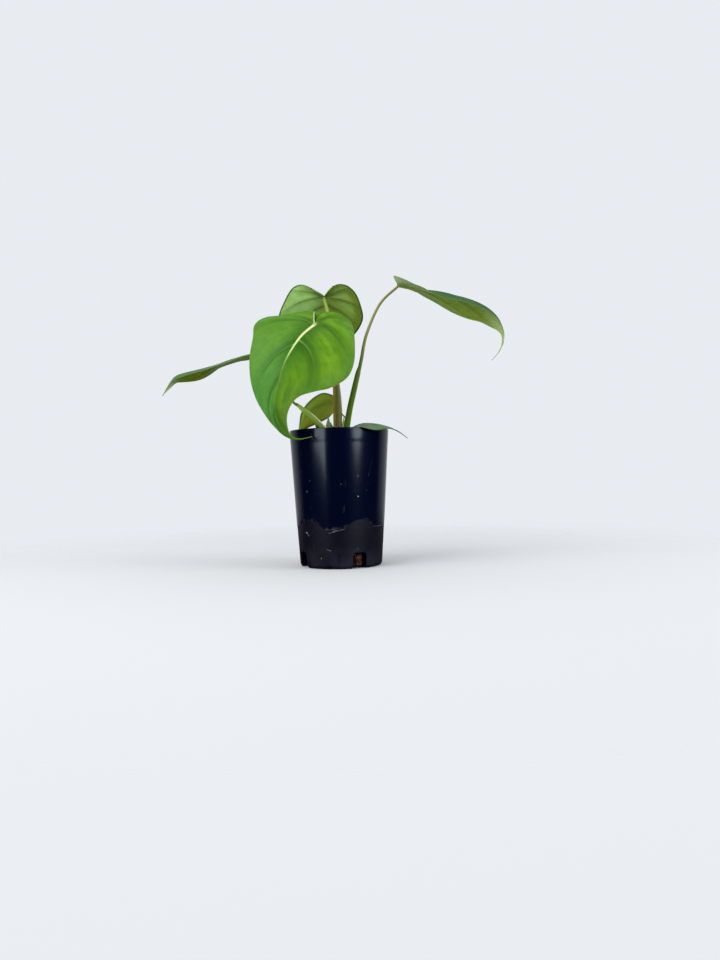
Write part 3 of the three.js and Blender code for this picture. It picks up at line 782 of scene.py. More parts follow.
def add_blade(
    name,
    upper,
    under,
    sinus,
    midrib,
    left,
    right,
    left_veins,
    right_veins,
    arch,
    sweep,
    fan,
    quilt,
    wave,
    keel=KEEL,
    rib=1.35,
):
    """A blade between three lines on its upper face, seen with the tip hanging down: the midrib, and
    the left and right margins from the sinus to the tip. The ribs of the mesh up to the share fan leave
    the end of the stalk and the rest leave the midrib. Each bows up by arch, bends by sweep and ends on
    the margin. The blade rises by quilt between its side veins and ripples by wave at its margin, and
    rib is half the width of the midrib where it starts.
    """
    spine = SmoothLine(midrib)
    margins = [SmoothLine([sinus, *margin, midrib[-1]]) for margin in (left, right)]
    t = np.arange(RIBS + 1) / RIBS
    q = (np.arange(STEPS + 1) / STEPS) ** 1.3

    def down_midrib(t):
        return np.clip((t - fan) / (1 - fan), 0, 1) ** 1.1

    steady = np.clip(t, 0.1, 0.93)
    across = margins[0].at(steady) - margins[1].at(steady)
    up = np.cross(across, spine.heading(down_midrib(steady)))
    up /= np.linalg.norm(up, axis=1, keepdims=True)
    start = spine.at(down_midrib(t))
    along = spine.heading(down_midrib(t))
    taper = 1 - down_midrib(t)[:, None]
    half_rib = MIDRIB_END + (rib - MIDRIB_END) * taper**1.6

    points, faces, index = [], [], {}
    labels = ("midrib", "vein", "spacing", "width", "edge", "along", "across", "thick")
    kept = {label: [] for label in labels}
    for side, veins in ((0, left_veins), (1, right_veins)):
        end = margins[side].at(t)
        reach = end - start
        size = np.linalg.norm(reach, axis=1, keepdims=True)
        bow = arch[side] * size * np.clip(t / 0.15, 0, 1)[:, None]
        bend = sweep * size * np.clip((t - 0.25) / 0.3, 0, 1)[:, None]
        middle = start + 0.5 * reach + up * bow - along * bend
        rows = [start * (1 - f) ** 2 + middle * 2 * f * (1 - f) + end * f * f for f in q]
        grid = np.stack(rows, axis=1)
        count = np.stack([vein_count(t, f, veins) for f in q], axis=1)
        near = np.clip(size * q / 8, 0, 1) * np.clip((1 - t) / 0.12, 0, 1)[:, None]
        cushion = (np.abs(np.sin(math.pi * count)) ** 0.75 - 0.6) * (1 - 0.75 * q**3)
        phase = 1.0 if side == 0 else 2.6
        ripple = np.sin(2 * math.pi * MARGIN_WAVES * t + phase)[:, None] * q**2
        grid += up[:, None, :] * (near * (quilt * cushion + wave * ripple))[:, :, None]

        spread = np.linalg.norm(np.gradient(grid, t, axis=0), axis=2)
        depth = np.linalg.norm(np.gradient(grid, q, axis=1), axis=2)
        climb = np.hypot(
            np.gradient(count, t, axis=0) / np.maximum(spread, 1e-3),
            np.gradient(count, q, axis=1) / np.maximum(depth, 1e-3),
        )
        spacing = np.minimum(1 / np.maximum(climb, 1e-3), 40.0)
        from_rib = q * size
        from_vein = np.abs(count - np.round(count)) * spacing
        ridge = keel * (0.1 + 0.9 * taper) * np.exp(-((from_rib / (0.8 * half_rib + 0.2)) ** 2))
        side_ridge = 0.3 * keel * (1 - q) ** 0.7 * np.exp(-((from_vein / 0.6) ** 2)) * near
        vein_width = 0.2 + (1 - q) ** 0.8 * (0.1 + 0.2 * taper)
        vein_width = vein_width + 0.4 * taper * np.exp(-((from_rib / 5.0) ** 2))
        values = {
            "midrib": from_rib / half_rib,
            "vein": count,
            "spacing": spacing,
            "width": vein_width,
            "edge": (1 - q) * size,
            "along": np.repeat(t[:, None], STEPS + 1, axis=1),
            "across": np.repeat(q[None, :], RIBS + 1, axis=0) * (2 * side - 1),
            "thick": np.maximum(ridge, side_ridge),
        }
        for i in range(RIBS + 1):
            for m in range(STEPS + 1):
                key = (side, i, m)
                if i == RIBS:
                    key = "tip"
                elif m == 0:
                    key = "junction" if t[i] <= fan else ("midrib", i)
                elif i == 0:
                    key = ("sinus", m)
                index[side, i, m] = index.setdefault(key, len(points))
                if index[key] == len(points):
                    points.append(grid[i, m])
                    for label in labels:
                        kept[label].append(values[label][i, m])
        for i in range(RIBS):
            for m in range(STEPS):
                corners = ((i, m), (i + 1, m), (i + 1, m + 1), (i, m + 1))
                loop = list(dict.fromkeys(index[side, a, b] for a, b in corners))
                if len(loop) > 2:
                    faces.append(loop[::-1] if side == 0 else loop)
    blade = add_mesh(name, points, faces, kept)
    for skin in (upper, under, upper):
        blade.data.materials.append(skin)
    return thicken_blade(blade, keel)


def thicken_blade(blade, keel):
    """The underside is the same sheet lowered, with the midrib and the side veins standing out of it."""
    deepest = BLADE_THICKNESS + keel
    depth = blade.vertex_groups.new(name="depth")
    extra = np.zeros(len(blade.data.vertices), dtype=np.float32)
    blade.data.attributes["thick"].data.foreach_get("value", extra)
    for k, more in enumerate(extra):
        depth.add([k], float(BLADE_THICKNESS + more) / deepest, "REPLACE")
    solid = blade.modifiers.new("Thickness", "SOLIDIFY")
    solid.thickness = deepest * MM
    solid.offset = -1.0
    solid.use_even_offset = False
    solid.use_rim = True
    solid.vertex_group = "depth"
    solid.thickness_vertex_group = 0.0
    solid.material_offset = 1
    solid.material_offset_rim = 2
    keep_result(blade)
    blade.vertex_groups.clear()
    blade.data.shade_smooth()
    return blade


def leaf_pattern():
    """The colour and relief of a blade, drawn from the distances kept at its points. Part of the colour is
    painted light and shade: shade along the midrib and in the furrows, and light on the cushions.
    """
    tree = bpy.data.node_groups.new("leaf_pattern", "ShaderNodeTree")
    add_sockets(tree, "INPUT", "Vector", "Place")
    add_sockets(tree, "INPUT", "Color", "Left colour", "Right colour")
    for name in ("Lobe", "Low", "Deep", "Patch", "Midrib", "Vein", "Edge", "Tail", "Border"):
        add_sockets(tree, "INPUT", "Color", name + " colour")
        add_sockets(tree, "INPUT", "Float", name + " strength")
    add_sockets(tree, "INPUT", "Float", "Furrow strength", "Fine vein strength", "Vein reach")
    add_sockets(tree, "INPUT", "Float", "Edge width", "Tail start", "Border side")
    add_sockets(tree, "OUTPUT", "Color", "Colour")
    add_sockets(tree, "OUTPUT", "Float", "Height", "Veins")
    given = tree.nodes.new("NodeGroupInput").outputs

    def tint(name, amount, ground):
        """The colour of that name over the ground, by the amount and by its own strength."""
        share = times(tree, amount, given[name + " strength"])
        return blend(tree, share, ground, given[name + " colour"])

    along, across = attribute(tree, "along"), attribute(tree, "across")
    out = math_node(tree, "ABSOLUTE", across)
    count = attribute(tree, "vein")
    # The two halves take their own colours. On the front, back and rim leaves this is painted light: the
    # half facing the light is lighter, and the other is darker or bluer with sheen.
    halves = fade(tree, across, -0.25, 0.35)
    colour = blend(tree, halves, given["Left colour"], given["Right colour"])
    # Lobe colour towards the sinus: painted light on the upper lobes of the front leaf, and painted shade
    # at the base of the rim leaf.
    colour = tint("Lobe", fade(tree, along, 0.34, 0.08), colour)
    # Low colour, low down on the left half: a painted bluish sheen on the front leaf.
    low = times(tree, fade(tree, along, 0.50, 0.74), fade(tree, across, 0.15, -0.35))
    colour = tint("Low", low, colour)

    # Patch colour: partly a random tone in streaks along the veins, and partly painted light on the crest
    # of each cushion, more on the right half where the light falls.
    streaky = {"X": times(tree, count, 2.2), "Y": times(tree, across, 1.3), "Z": 0.0}
    streaky = add_node(tree, "ShaderNodeCombineXYZ", streaky).outputs["Vector"]
    clouds = noise_value(tree, streaky, 1.5, 3.0, 0.55, 0.2)
    swell = math_node(tree, "ABSOLUTE", math_node(tree, "SINE", times(tree, count, math.pi)))
    tone_and_cushion_light = times(tree, fade(tree, clouds, 0.36, 0.62), fade(tree, swell, 0.2, 0.95))
    more_on_right = math_node(tree, "MULTIPLY_ADD", fade(tree, across, -0.3, 0.3), 0.75, 0.25)
    tone_and_cushion_light = times(tree, tone_and_cushion_light, fade(tree, out, 0.08, 0.45), more_on_right)
    colour = tint("Patch", tone_and_cushion_light, colour)
    # Deep colour towards the midrib, less at the tip: painted shade along the midrib.
    inner = math_node(tree, "SUBTRACT", 1.0, fade(tree, out, 0.02, 0.45))
    less_at_tip = math_node(tree, "MULTIPLY_ADD", fade(tree, along, 0.78, 0.55), 0.8, 0.2)
    colour = tint("Deep", times(tree, inner, less_at_tip), colour)
    # Painted shade: the deep colour in the furrows beside the side veins, set by the furrow strength.
    hollow = times(tree, fade(tree, swell, 0.72, 0.0), fade(tree, out, 1.0, 0.35))
    hollow = times(tree, hollow, given["Furrow strength"])
    colour = blend(tree, hollow, colour, given["Deep colour"])
    # Border colour in a band along one margin: a painted sheen on the front leaf, and painted light
    # shining through the small leaf.
    chosen_side = fade(tree, times(tree, across, given["Border side"]), 0.1, 0.5)
    border = times(tree, fade(tree, attribute(tree, "edge"), 11.0, 4.0), chosen_side)
    border = times(tree, border, fade(tree, along, 0.12, 0.30))
    colour = tint("Border", border, colour)
    mottle = noise_value(tree, given["Place"], 190.0, 2.0, 0.5)
    mottled = times(tree, fade(tree, mottle, 0.62, 0.38), 0.16)
    colour = blend(tree, mottled, colour, given["Deep colour"])

    shaken = math_node(tree, "MULTIPLY_ADD", clouds, 5.0, times(tree, count, 2 * math.pi * 6))
    fine = fade(tree, math_node(tree, "SINE", shaken), 0.30, 1.0)
    fine = times(tree, fine, fade(tree, out, 0.05, 0.25), fade(tree, out, 1.0, 0.8))
    fine_shown = times(tree, fine, given["Fine vein strength"])
    colour = blend(tree, fine_shown, colour, given["Vein colour"])
    off = math_node(tree, "SUBTRACT", count, math_node(tree, "ROUND", count))
    from_vein = times(tree, math_node(tree, "ABSOLUTE", off), attribute(tree, "spacing"))
    from_vein = math_node(tree, "DIVIDE", from_vein, attribute(tree, "width"))
    inward = math_node(tree, "SUBTRACT", 1.0, out, clamp=True)
    strong = math_node(tree, "POWER", inward, 2.6)
    lasting = math_node(tree, "SUBTRACT", 1.0, given["Vein reach"])
    strong = math_node(tree, "MULTIPLY_ADD", strong, lasting, given["Vein reach"])
    shown = times(tree, fade(tree, from_vein, 1.5, 0.3), strong, fade(tree, along, 0.80, 0.60))
    colour = tint("Vein", shown, colour)
    rib = fade(tree, attribute(tree, "midrib"), 1.25, 0.6)
    faded = math_node(tree, "MULTIPLY_ADD", fade(tree, along, 0.57, 0.69), -0.85, 1.0)
    rib_shown = times(tree, rib, faded, given["Midrib strength"])
    turning = fade(tree, along, 0.46, 0.70)
    rib_colour = blend(tree, turning, given["Midrib colour"], given["Vein colour"])
    colour = blend(tree, rib_shown, colour, rib_colour)
    edge = math_node(tree, "DIVIDE", attribute(tree, "edge"), given["Edge width"])
    colour = tint("Edge", fade(tree, edge, 1.3, 0.5), colour)
    past = math_node(tree, "SUBTRACT", along, given["Tail start"])
    colour = tint("Tail", fade(tree, past, 0.0, 0.13), colour)

    furrow = times(tree, fade(tree, from_vein, 4.0, 0.0), fade(tree, out, 1.0, 0.6))
    height = math_node(tree, "SUBTRACT", times(tree, fine, -0.15), furrow)
    height = math_node(tree, "MULTIPLY_ADD", mottle, 0.10, height)
    out_node = tree.nodes.new("NodeGroupOutput")
    tree.links.new(colour, out_node.inputs["Colour"])
    tree.links.new(height, out_node.inputs["Height"])
    tree.links.new(math_node(tree, "MAXIMUM", shown, rib_shown), out_node.inputs["Veins"])
    return tree


LEAF_PATTERN = leaf_pattern()


def mix_shaders(tree, share, first, second):
    """The first shader where the share is 0 and the second where it is 1."""
    return add_node(tree, "ShaderNodeMixShader", {0: share, 1: first, 2: second}).outputs[0]


def leaf_skin(name, colours, glow, through, roughness, shine=0.22, vein_glow=0.5, **strengths):
    """One face of a blade. Some of the light that falls on it comes out of the other side."""
    made, tree, shader, place = new_material(name)
    pattern = add_node(tree, "ShaderNodeGroup", node_tree=LEAF_PATTERN)
    tree.links.new(place, pattern.inputs["Place"])
    spare = {"lobe": colours["left"], "low": colours["deep"], "border": colours["left"]}
    for label, value in {**spare, **colours}.items():
        pattern.inputs[label.capitalize() + " colour"].default_value = (*value, 1.0)
    chosen = {
        "Lobe strength": 0.0,
        "Low strength": 0.0,
        "Deep strength": 0.45,
        "Patch strength": 0.4,
        "Furrow strength": 0.35,
        "Midrib strength": 1.0,
        "Vein strength": 0.5,
        "Vein reach": 0.06,
        "Fine vein strength": 0.04,
        "Edge width": 0.7,
        "Edge strength": 0.5,
        "Tail strength": 0.5,
        "Tail start": 0.84,
        "Border strength": 0.0,
        "Border side": 1.0,
    }
    for label, value in strengths.items():
        chosen[label.replace("_", " ").capitalize()] = value
    for label, value in chosen.items():
        pattern.inputs[label].default_value = value
    tree.links.new(pattern.outputs["Colour"], shader.inputs["Base Color"])
    shader.inputs["Roughness"].default_value = roughness
    shader.inputs["Specular IOR Level"].default_value = shine
    bump(tree, shader, pattern.outputs["Height"], 0.35, 0.0006)
    bright = times(tree, pattern.outputs["Veins"], vein_glow)
    glow_colour = blend(tree, bright, (*glow, 1.0), (0.80, 0.90, 0.40, 1.0))
    lit = add_node(tree, "ShaderNodeBsdfTranslucent", {"Color": glow_colour})
    both = mix_shaders(tree, through, shader.outputs[0], lit.outputs[0])
    tree.links.new(both, tree.nodes["Material Output"].inputs["Surface"])
    return made


def add_stalk(name, path, radii, skin, steps=STALK_STEPS, flat=1.0):
    """A stalk with closed ends and a round section, or one pressed flat from front to back. Its radius is
    given at each point of its path.
    """
    line = SmoothLine(path)
    shares = np.linspace(0, 1, steps + 1)
    knots = np.interp(np.arange(len(path)) * SPAN_STEPS, np.arange(len(line.shares)), line.shares)
    middles, headings = line.at(shares), line.heading(shares)
    radius = np.interp(shares, knots, radii)
    points, skin_place, shade = [tuple(middles[0])], [(0, 0, 0)], [0.0]
    across = np.array([0.0, 1.0, 0.0])
    for i in range(steps + 1):
        across = across - headings[i] * across.dot(headings[i])
        across /= np.linalg.norm(across)
        beside = np.cross(headings[i], across)
        for k in range(STALK_SIDES):
            a = 2 * math.pi * k / STALK_SIDES
            spoke = across * flat * math.cos(a) + beside * math.sin(a)
            points.append(tuple(middles[i] + radius[i] * spoke))
            skin_place.append((math.cos(a), math.sin(a), shares[i] * line.length / STREAK_SPAN))
            shade.append(shares[i])
    points.append(tuple(middles[-1]))
    skin_place.append((0, 0, line.length / STREAK_SPAN))
    shade.append(1.0)
    faces = ring_faces(STALK_SIDES, steps + 1)
    made = add_mesh(name, points, faces, {"skin": skin_place, "up_the_stalk": shade})
    made.data.materials.append(skin)
    return made


def stalk_pattern():
    """Long streaks and pale flecks in the skin of a stalk, over a colour that changes on its way up."""
    tree = bpy.data.node_groups.new("stalk_pattern", "ShaderNodeTree")
    add_sockets(tree, "INPUT", "Color", "Foot colour", "Middle colour", "Top colour", "Streak colour")
    add_sockets(tree, "INPUT", "Float", "Streak strength")
    add_sockets(tree, "OUTPUT", "Color", "Colour")
    add_sockets(tree, "OUTPUT", "Float", "Height")
    given = tree.nodes.new("NodeGroupInput").outputs
    skin = add_node(tree, "ShaderNodeAttribute", attribute_name="skin").outputs["Vector"]
    up = attribute(tree, "up_the_stalk")
    colour = blend(tree, fade(tree, up, 0.05, 0.45), given["Foot colour"], given["Middle colour"])
    colour = blend(tree, fade(tree, up, 0.6, 0.98), colour, given["Top colour"])
    streaks = noise_value(tree, skin, 3.4, 4.0, 0.6)
    streaked = times(tree, fade(tree, streaks, 0.45, 0.7), given["Streak strength"])
    colour = blend(tree, streaked, colour, given["Streak colour"])
    flecks = noise_value(tree, skin, 28.0, 2.0, 0.5)
    flecked = times(tree, fade(tree, flecks, 0.62, 0.72), 0.22)
    colour = blend(tree, flecked, colour, (0.42, 0.42, 0.25, 1.0))
    out_node = tree.nodes.new("NodeGroupOutput")
    tree.links.new(colour, out_node.inputs["Colour"])
    height = math_node(tree, "MULTIPLY_ADD", flecks, 0.3, streaks)
    tree.links.new(height, out_node.inputs["Height"])
    return tree


STALK_PATTERN = stalk_pattern()


def stalk_skin(name, foot, middle, top, streak, roughness=0.42, shine=0.16):
    """The skin of a stalk or a sheath, in its colours from the foot to the top."""
    made, tree, shader = new_material(name)[:3]
    pattern = add_node(tree, "ShaderNodeGroup", node_tree=STALK_PATTERN)
    for label, value in (("Foot", foot), ("Middle", middle), ("Top", top), ("Streak", streak)):
        pattern.inputs[label + " colour"].default_value = (*value, 1.0)
    pattern.inputs["Streak strength"].default_value = 0.45
    tree.links.new(pattern.outputs["Colour"], shader.inputs["Base Color"])
    shader.inputs["Roughness"].default_value = roughness
    shader.inputs["Specular IOR Level"].default_value = shine
    shader.inputs["Subsurface Weight"].default_value = 0.12
    shader.inputs["Subsurface Scale"].default_value = 0.0012
    shader.inputs["Subsurface Radius"].default_value = (0.6, 1.0, 0.2)
    bump(tree, shader, pattern.outputs["Height"], 0.25, 0.0004)
    return made


def join_pieces(whole, *parts):
    """The parts become one mesh with the first, each keeping its own skin."""
    joined = bmesh.new()
    skins = []
    for part in (whole, *parts):
        offset = len(skins)
        skins += list(part.data.materials)
        part.data.materials.clear()
        count = len(joined.faces)
        joined.from_mesh(part.data)
        joined.faces.ensure_lookup_table()
        for f in list(joined.faces)[count:]:
            f.material_index += offset
    joined.to_mesh(whole.data)
    joined.free()
    for skin in skins:
        whole.data.materials.append(skin)
    for part in parts:
        bpy.data.objects.remove(part)
    return whole


# Painted light and shade on the upper face: the lobe colour lightens the upper lobes, the low colour is a
# bluish sheen low on the left, and the border colour is a sheen along the right margin. The left half is a
# little bluer than the right, and the deep colour is shade along the midrib and in the furrows.
front_upper = leaf_skin(
    "front_leaf_upper",
    {
        "left": (0.080, 0.222, 0.016),
        "right": (0.080, 0.208, 0.006),
        "lobe": (0.106, 0.270, 0.006),
        "low": (0.052, 0.220, 0.035),
        "deep": (0.016, 0.085, 0.001),
        "patch": (0.168, 0.330, 0.012),
        "midrib": (0.700, 0.740, 0.360),
        "vein": (0.300, 0.520, 0.090),
        "border": (0.090, 0.205, 0.040),
        "edge": (0.24, 0.36, 0.03),
        "tail": (0.048, 0.140, 0.001),
    },
    glow=(0.30, 0.75, 0.02),
    through=0.12,
    tail_start=0.8,
    roughness=0.42,
    shine=0.12,
    edge_width=0.5,
    lobe_strength=0.6,
    low_strength=0.75,
    deep_strength=0.65,
    patch_strength=0.62,
    furrow_strength=0.6,
    vein_strength=0.36,
    border_strength=0.3,
)
front_under = leaf_skin(
    "front_leaf_under",
    {
        "left": (0.120, 0.230, 0.045),
        "right": (0.120, 0.230, 0.045),
        "deep": (0.080, 0.165, 0.025),
        "patch": (0.190, 0.310, 0.060),
        "midrib": (0.42, 0.50, 0.20),
        "vein": (0.22, 0.33, 0.10),
        "edge": (0.10, 0.18, 0.04),
        "tail": (0.25, 0.34, 0.12),
    },
    glow=(0.30, 0.75, 0.03),
    through=0.1,
    roughness=0.55,
)
front_blade = add_blade(
    "front_leaf_blade",
    front_upper,
    front_under,
    sinus=(-16.9, -18, 178.3),
    midrib=[
        (-15.4, -20, 176.4), (-25.4, -33, 164.6), (-34.2, -46, 146.8), (-39.1, -51.5, 130.4),
        (-41.9, -52.5, 117.1), (-40.3, -49.5, 105.1), (-34.5, -45, 95.4), (-27.2, -42, 92.2),
        (-17.5, -39, 93.8),
    ],
    left=[
        (-17.6, -9, 185.5), (-18.2, -2, 191.8), (-21.5, 1, 191.4), (-29.4, 4, 191.6),
        (-41.7, 5, 190), (-53, -2, 186.7), (-60.3, -11, 178.8), (-60.7, -18, 167.8),
        (-62.7, -23, 152.4), (-61.5, -29, 136.4), (-57.9, -34, 123.7), (-52.3, -38, 113.3),
        (-44.5, -41, 102.5), (-36.2, -42, 94.5), (-28, -41.5, 91.7),
    ],
    right=[
        (-16.5, -9, 184.8), (-12.6, 0, 189.9), (-2.8, 2, 190.8), (6.2, -3, 186.1),
        (11.8, -13, 176.2), (13.3, -25, 161.4), (12.5, -35, 146.1), (7.4, -39, 134.7),
        (-3.9, -43, 127.1), (-14.9, -46, 124.2), (-24.1, -48.5, 121.3), (-30.2, -49.5, 115.8),
        (-33.9, -48.5, 106.5), (-32.6, -44.5, 96), (-26.5, -42, 92.8),
    ],
    left_veins=[(0.06, 0.14), (0.18, 0.28), (0.32, 0.40), (0.56, 0.69), (0.72, 0.86), (0.82, 0.93)],
    right_veins=[(0.06, 0.11), (0.20, 0.24), (0.37, 0.51), (0.535, 0.74), (0.86, 0.95)],
    arch=(0.10, 0.16),
    sweep=0.16,
    fan=0.40,
    quilt=1.8,
    wave=0.5,
)
finish_piece(front_blade, "leaf_green", "front_blade")
mauve_stalk = stalk_skin(
    "mauve_stalk",
    foot=(0.200, 0.190, 0.040),
    middle=(0.150, 0.160, 0.046),
    top=(0.360, 0.440, 0.170),
    streak=(0.235, 0.215, 0.090),
)
front_stalk = add_stalk(
    "front_leaf_stalk",
    [
        (0.3, -1.6, 91), (0.4, -1.6, 100), (0.7, -1.6, 116), (-0.6, -2.5, 134.6), (-4.8, -5, 158),
        (-11.2, -5, 173.5), (-15.6, -5, 187.2), (-16.4, -10, 186.8), (-16.3, -15.5, 181.4),
        (-15.6, -20.1, 176),
    ],
    [1.8, 1.85, 2.0, 1.85, 1.5, 1.2, 0.6, 0.45, 0.45, 0.7],
    mauve_stalk,
)
finish_piece(front_stalk, "mauve_stalk", "front_stalk")


# The back leaf
#
# It stands up behind the front leaf with its back turned, so its underside shows: paler than the
# upper face, with raised veins and a fine dark margin. Its stalk rises close behind the front one.
back_upper = leaf_skin(
    "back_leaf_upper",
    {
        "left": (0.060, 0.185, 0.018),
        "right": (0.065, 0.190, 0.014),
        "deep": (0.030, 0.115, 0.006),
        "patch": (0.120, 0.260, 0.015),
        "midrib": (0.62, 0.68, 0.28),
        "vein": (0.28, 0.44, 0.10),
        "edge": (0.08, 0.16, 0.03),
        "tail": (0.12, 0.24, 0.03),
    },
    glow=(0.40, 0.80, 0.05),
    through=0.14,
    roughness=0.42,
    vein_strength=0.6,
)
# Painted light and shade on the underside: the half that faces the light is much lighter than the other,
# the deep colour is a painted shadow, the patch colour paints light on the cushions, and the dark vein
# colour paints the shade beside the raised veins.
back_under = leaf_skin(
    "back_leaf_under",
    {
        "left": (0.200, 0.310, 0.050),
        "right": (0.380, 0.660, 0.185),
        "deep": (0.130, 0.185, 0.014),
        "patch": (0.500, 0.780, 0.270),
        "midrib": (0.360, 0.460, 0.090),
        "vein": (0.060, 0.115, 0.014),
        "border": (0.110, 0.160, 0.002),
        "edge": (0.014, 0.040, 0.012),
        "tail": (0.20, 0.30, 0.08),
    },
    glow=(0.50, 0.85, 0.06),
    through=0.12,
    roughness=0.50,
    vein_glow=0.0,
    edge_strength=0.95,
    edge_width=1.1,
    deep_strength=0.15,
    vein_strength=0.65,
    vein_reach=0.55,
    furrow_strength=0.55,
    patch_strength=0.42,
    border_strength=0.85,
    border_side=-1.0,
)
back_blade = add_blade(
    "back_leaf_blade",
    back_upper,
    back_under,
    sinus=(-10.1, 22.5, 208.1),
    midrib=[
        (-10.5, 24, 207.3), (-9.8, 37, 194.2), (-9.8, 47, 174.4), (-12, 52, 158.8),
        (-16.6, 55, 147),
    ],
    left=[
        (-6.5, 17, 211), (-1.3, 12, 213.6), (5, 9.5, 213.4), (11, 9.5, 210.7), (16.3, 11.5, 203.5),
        (20, 18, 190.7), (17.4, 25, 183.8), (10.9, 32, 176.7), (1.6, 42, 166.7), (-7.8, 50, 156),
    ],
    right=[
        (-14.9, 18, 210.4), (-22.1, 13, 213.5), (-28.8, 10.5, 213.9), (-35, 10.5, 210.4),
        (-40.4, 13, 202.3), (-45.7, 19, 193), (-46.5, 26, 184.4), (-43, 35, 174.3),
        (-35.2, 44, 164.5), (-24.5, 52, 154.1),
    ],
    left_veins=[(0.06, 0.12), (0.20, 0.23), (0.34, 0.37), (0.46, 0.52), (0.60, 0.68), (0.72, 0.86)],
    right_veins=[(0.06, 0.12), (0.20, 0.26), (0.36, 0.43), (0.48, 0.60), (0.66, 0.82)],
    arch=(0.10, 0.10),
    sweep=0.14,
    fan=0.40,
    quilt=2.4,
    wave=0.4,
)
finish_piece(back_blade, "leaf_green", "back_blade")
olive_stalk = stalk_skin(
    "olive_stalk",
    foot=(0.340, 0.300, 0.050),
    middle=(0.310, 0.290, 0.045),
    top=(0.300, 0.400, 0.060),
    streak=(0.220, 0.180, 0.035),
)
back_stalk = add_stalk(
    "back_leaf_stalk",
    [
        (-2.2, 2.8, 91), (-2.2, 2.8, 100), (-2.2, 3.3, 116.5), (-2.3, 5, 135.7), (-4, 12, 167.5),
        (-7.1, 19, 192.3), (-10.4, 23.8, 206.9),
    ],
    [2.1, 2.1, 2.1, 2.0, 1.7, 1.4, 1.2],
    olive_stalk,
)
finish_piece(back_stalk, "mauve_stalk", "back_stalk")


# The right leaf
#
# It arches far out to the right and is seen edge-on: a sliver of its upper face over a long olive
# underside, ending in a hooked tip. The foot of its stalk is wrapped in a green sheath.
right_upper = leaf_skin(
    "right_leaf_upper",
    {
        "left": (0.020, 0.100, 0.010),
        "right": (0.034, 0.125, 0.015),
        "deep": (0.015, 0.065, 0.012),
        "patch": (0.055, 0.150, 0.022),
        "midrib": (0.55, 0.60, 0.26),
        "vein": (0.20, 0.34, 0.10),
        "edge": (0.20, 0.26, 0.10),
        "tail": (0.20, 0.28, 0.12),
    },
    glow=(0.30, 0.75, 0.03),
    through=0.1,
    roughness=0.50,
)
right_under = leaf_skin(
    "right_leaf_under",
    {
        "left": (0.205, 0.300, 0.040),
        "right": (0.185, 0.292, 0.018),
        "lobe": (0.520, 0.680, 0.330),
        "deep": (0.090, 0.145, 0.010),
        "patch": (0.260, 0.330, 0.050),
        "midrib": (0.27, 0.30, 0.06),
        "vein": (0.21, 0.25, 0.05),
        "edge": (0.420, 0.540, 0.180),
        "tail": (0.380, 0.500, 0.190),
    },
    glow=(0.45, 0.70, 0.05),
    through=0.1,
    roughness=0.52,
    lobe_strength=0.95,
    edge_strength=0.75,
    tail_strength=0.9,
    tail_start=0.7,
)
right_blade = add_blade(
    "right_leaf_blade",
    right_upper,
    right_under,
    sinus=(46.4, 0, 209.8),
    midrib=[
        (47.2, 0, 209.1), (57.7, 0, 206.8), (68.2, 0, 205.4), (77.2, 0, 204.1), (87, 0, 201.6),
        (98.2, 0, 198.5), (107.9, 0, 194.6), (116.1, 0, 189.2), (122.3, 0, 181.9),
        (125.4, 0, 172.4), (124.9, 0, 164.5), (121.8, 0, 157.6), (116.2, 0, 151.3),
    ],
    left=[
        (42.6, -13, 212.2), (46.8, -21.5, 208.9), (50.8, -25, 206.3), (54.6, -26, 204.1),
        (62.8, -25.5, 200.4), (73, -23.3, 194.8), (83.7, -20.3, 192.6), (96.7, -16, 190.9),
        (107.9, -11.5, 188), (116, -7.5, 184.6), (122.2, -3.8, 178.9), (125.1, -1.3, 170.8),
        (124.6, -0.5, 164), (121.5, -0.3, 157.5),
    ],
    right=[
        (47.6, 8, 212.6), (51.8, 18, 215.8), (57.7, 26, 215.6), (62.9, 27.5, 211.8),
        (68.1, 27.3, 207.5), (78.6, 25.5, 201.1), (89.3, 22.5, 194.3), (99.8, 18, 188),
        (110, 13.5, 183.3), (116.1, 9.5, 178.8), (121.6, 5, 174.6), (124.2, 1.8, 170),
        (124.2, 0.6, 163.8), (121.1, 0.3, 157.6),
    ],
    left_veins=[(0.06, 0.10), (0.20, 0.26), (0.36, 0.44), (0.48, 0.60), (0.62, 0.76), (0.76, 0.90)],
    right_veins=[(0.06, 0.10), (0.20, 0.28), (0.36, 0.50), (0.46, 0.64), (0.60, 0.78), (0.74, 0.91)],
    arch=(0.08, 0.08),
    sweep=0.16,
    fan=0.36,
    quilt=0.7,
    wave=0.4,
)
finish_piece(right_blade, "leaf_green", "right_blade")
tan_stalk = stalk_skin(
    "tan_stalk",
    foot=(0.080, 0.130, 0.008),
    middle=(0.210, 0.210, 0.055),
    top=(0.170, 0.200, 0.040),
    streak=(0.320, 0.310, 0.150),
)
green_sheath = stalk_skin(
    "green_sheath",
    foot=(0.095, 0.195, 0.001),
    middle=(0.062, 0.135, 0.002),
    top=(0.085, 0.135, 0.012),
    streak=(0.105, 0.185, 0.003),
    roughness=0.46,
    shine=0.10,
)
right_stalk = add_stalk(
    "right_leaf_stalk",
    [
        (14.6, -1.1, 140.5), (16.3, -1, 147), (17.9, -0.7, 154), (22.2, 0, 172.9), (32.7, 0, 195.3),
        (47, 0, 208.8),
    ],
    [1.5, 1.35, 1.3, 1.15, 1.0, 0.9],
    tan_stalk,
)
right_sheath = add_stalk(
    "right_leaf_sheath",
    [
        (5.0, -2, 91), (5.4, -2, 99.4), (8.3, -2, 115.8), (12.1, -1.5, 131.5), (15.1, -1, 143.4),
        (16.4, -1, 148),
    ],
    [2.5, 2.4, 2.2, 2.1, 1.9, 1.25],
    green_sheath,
)
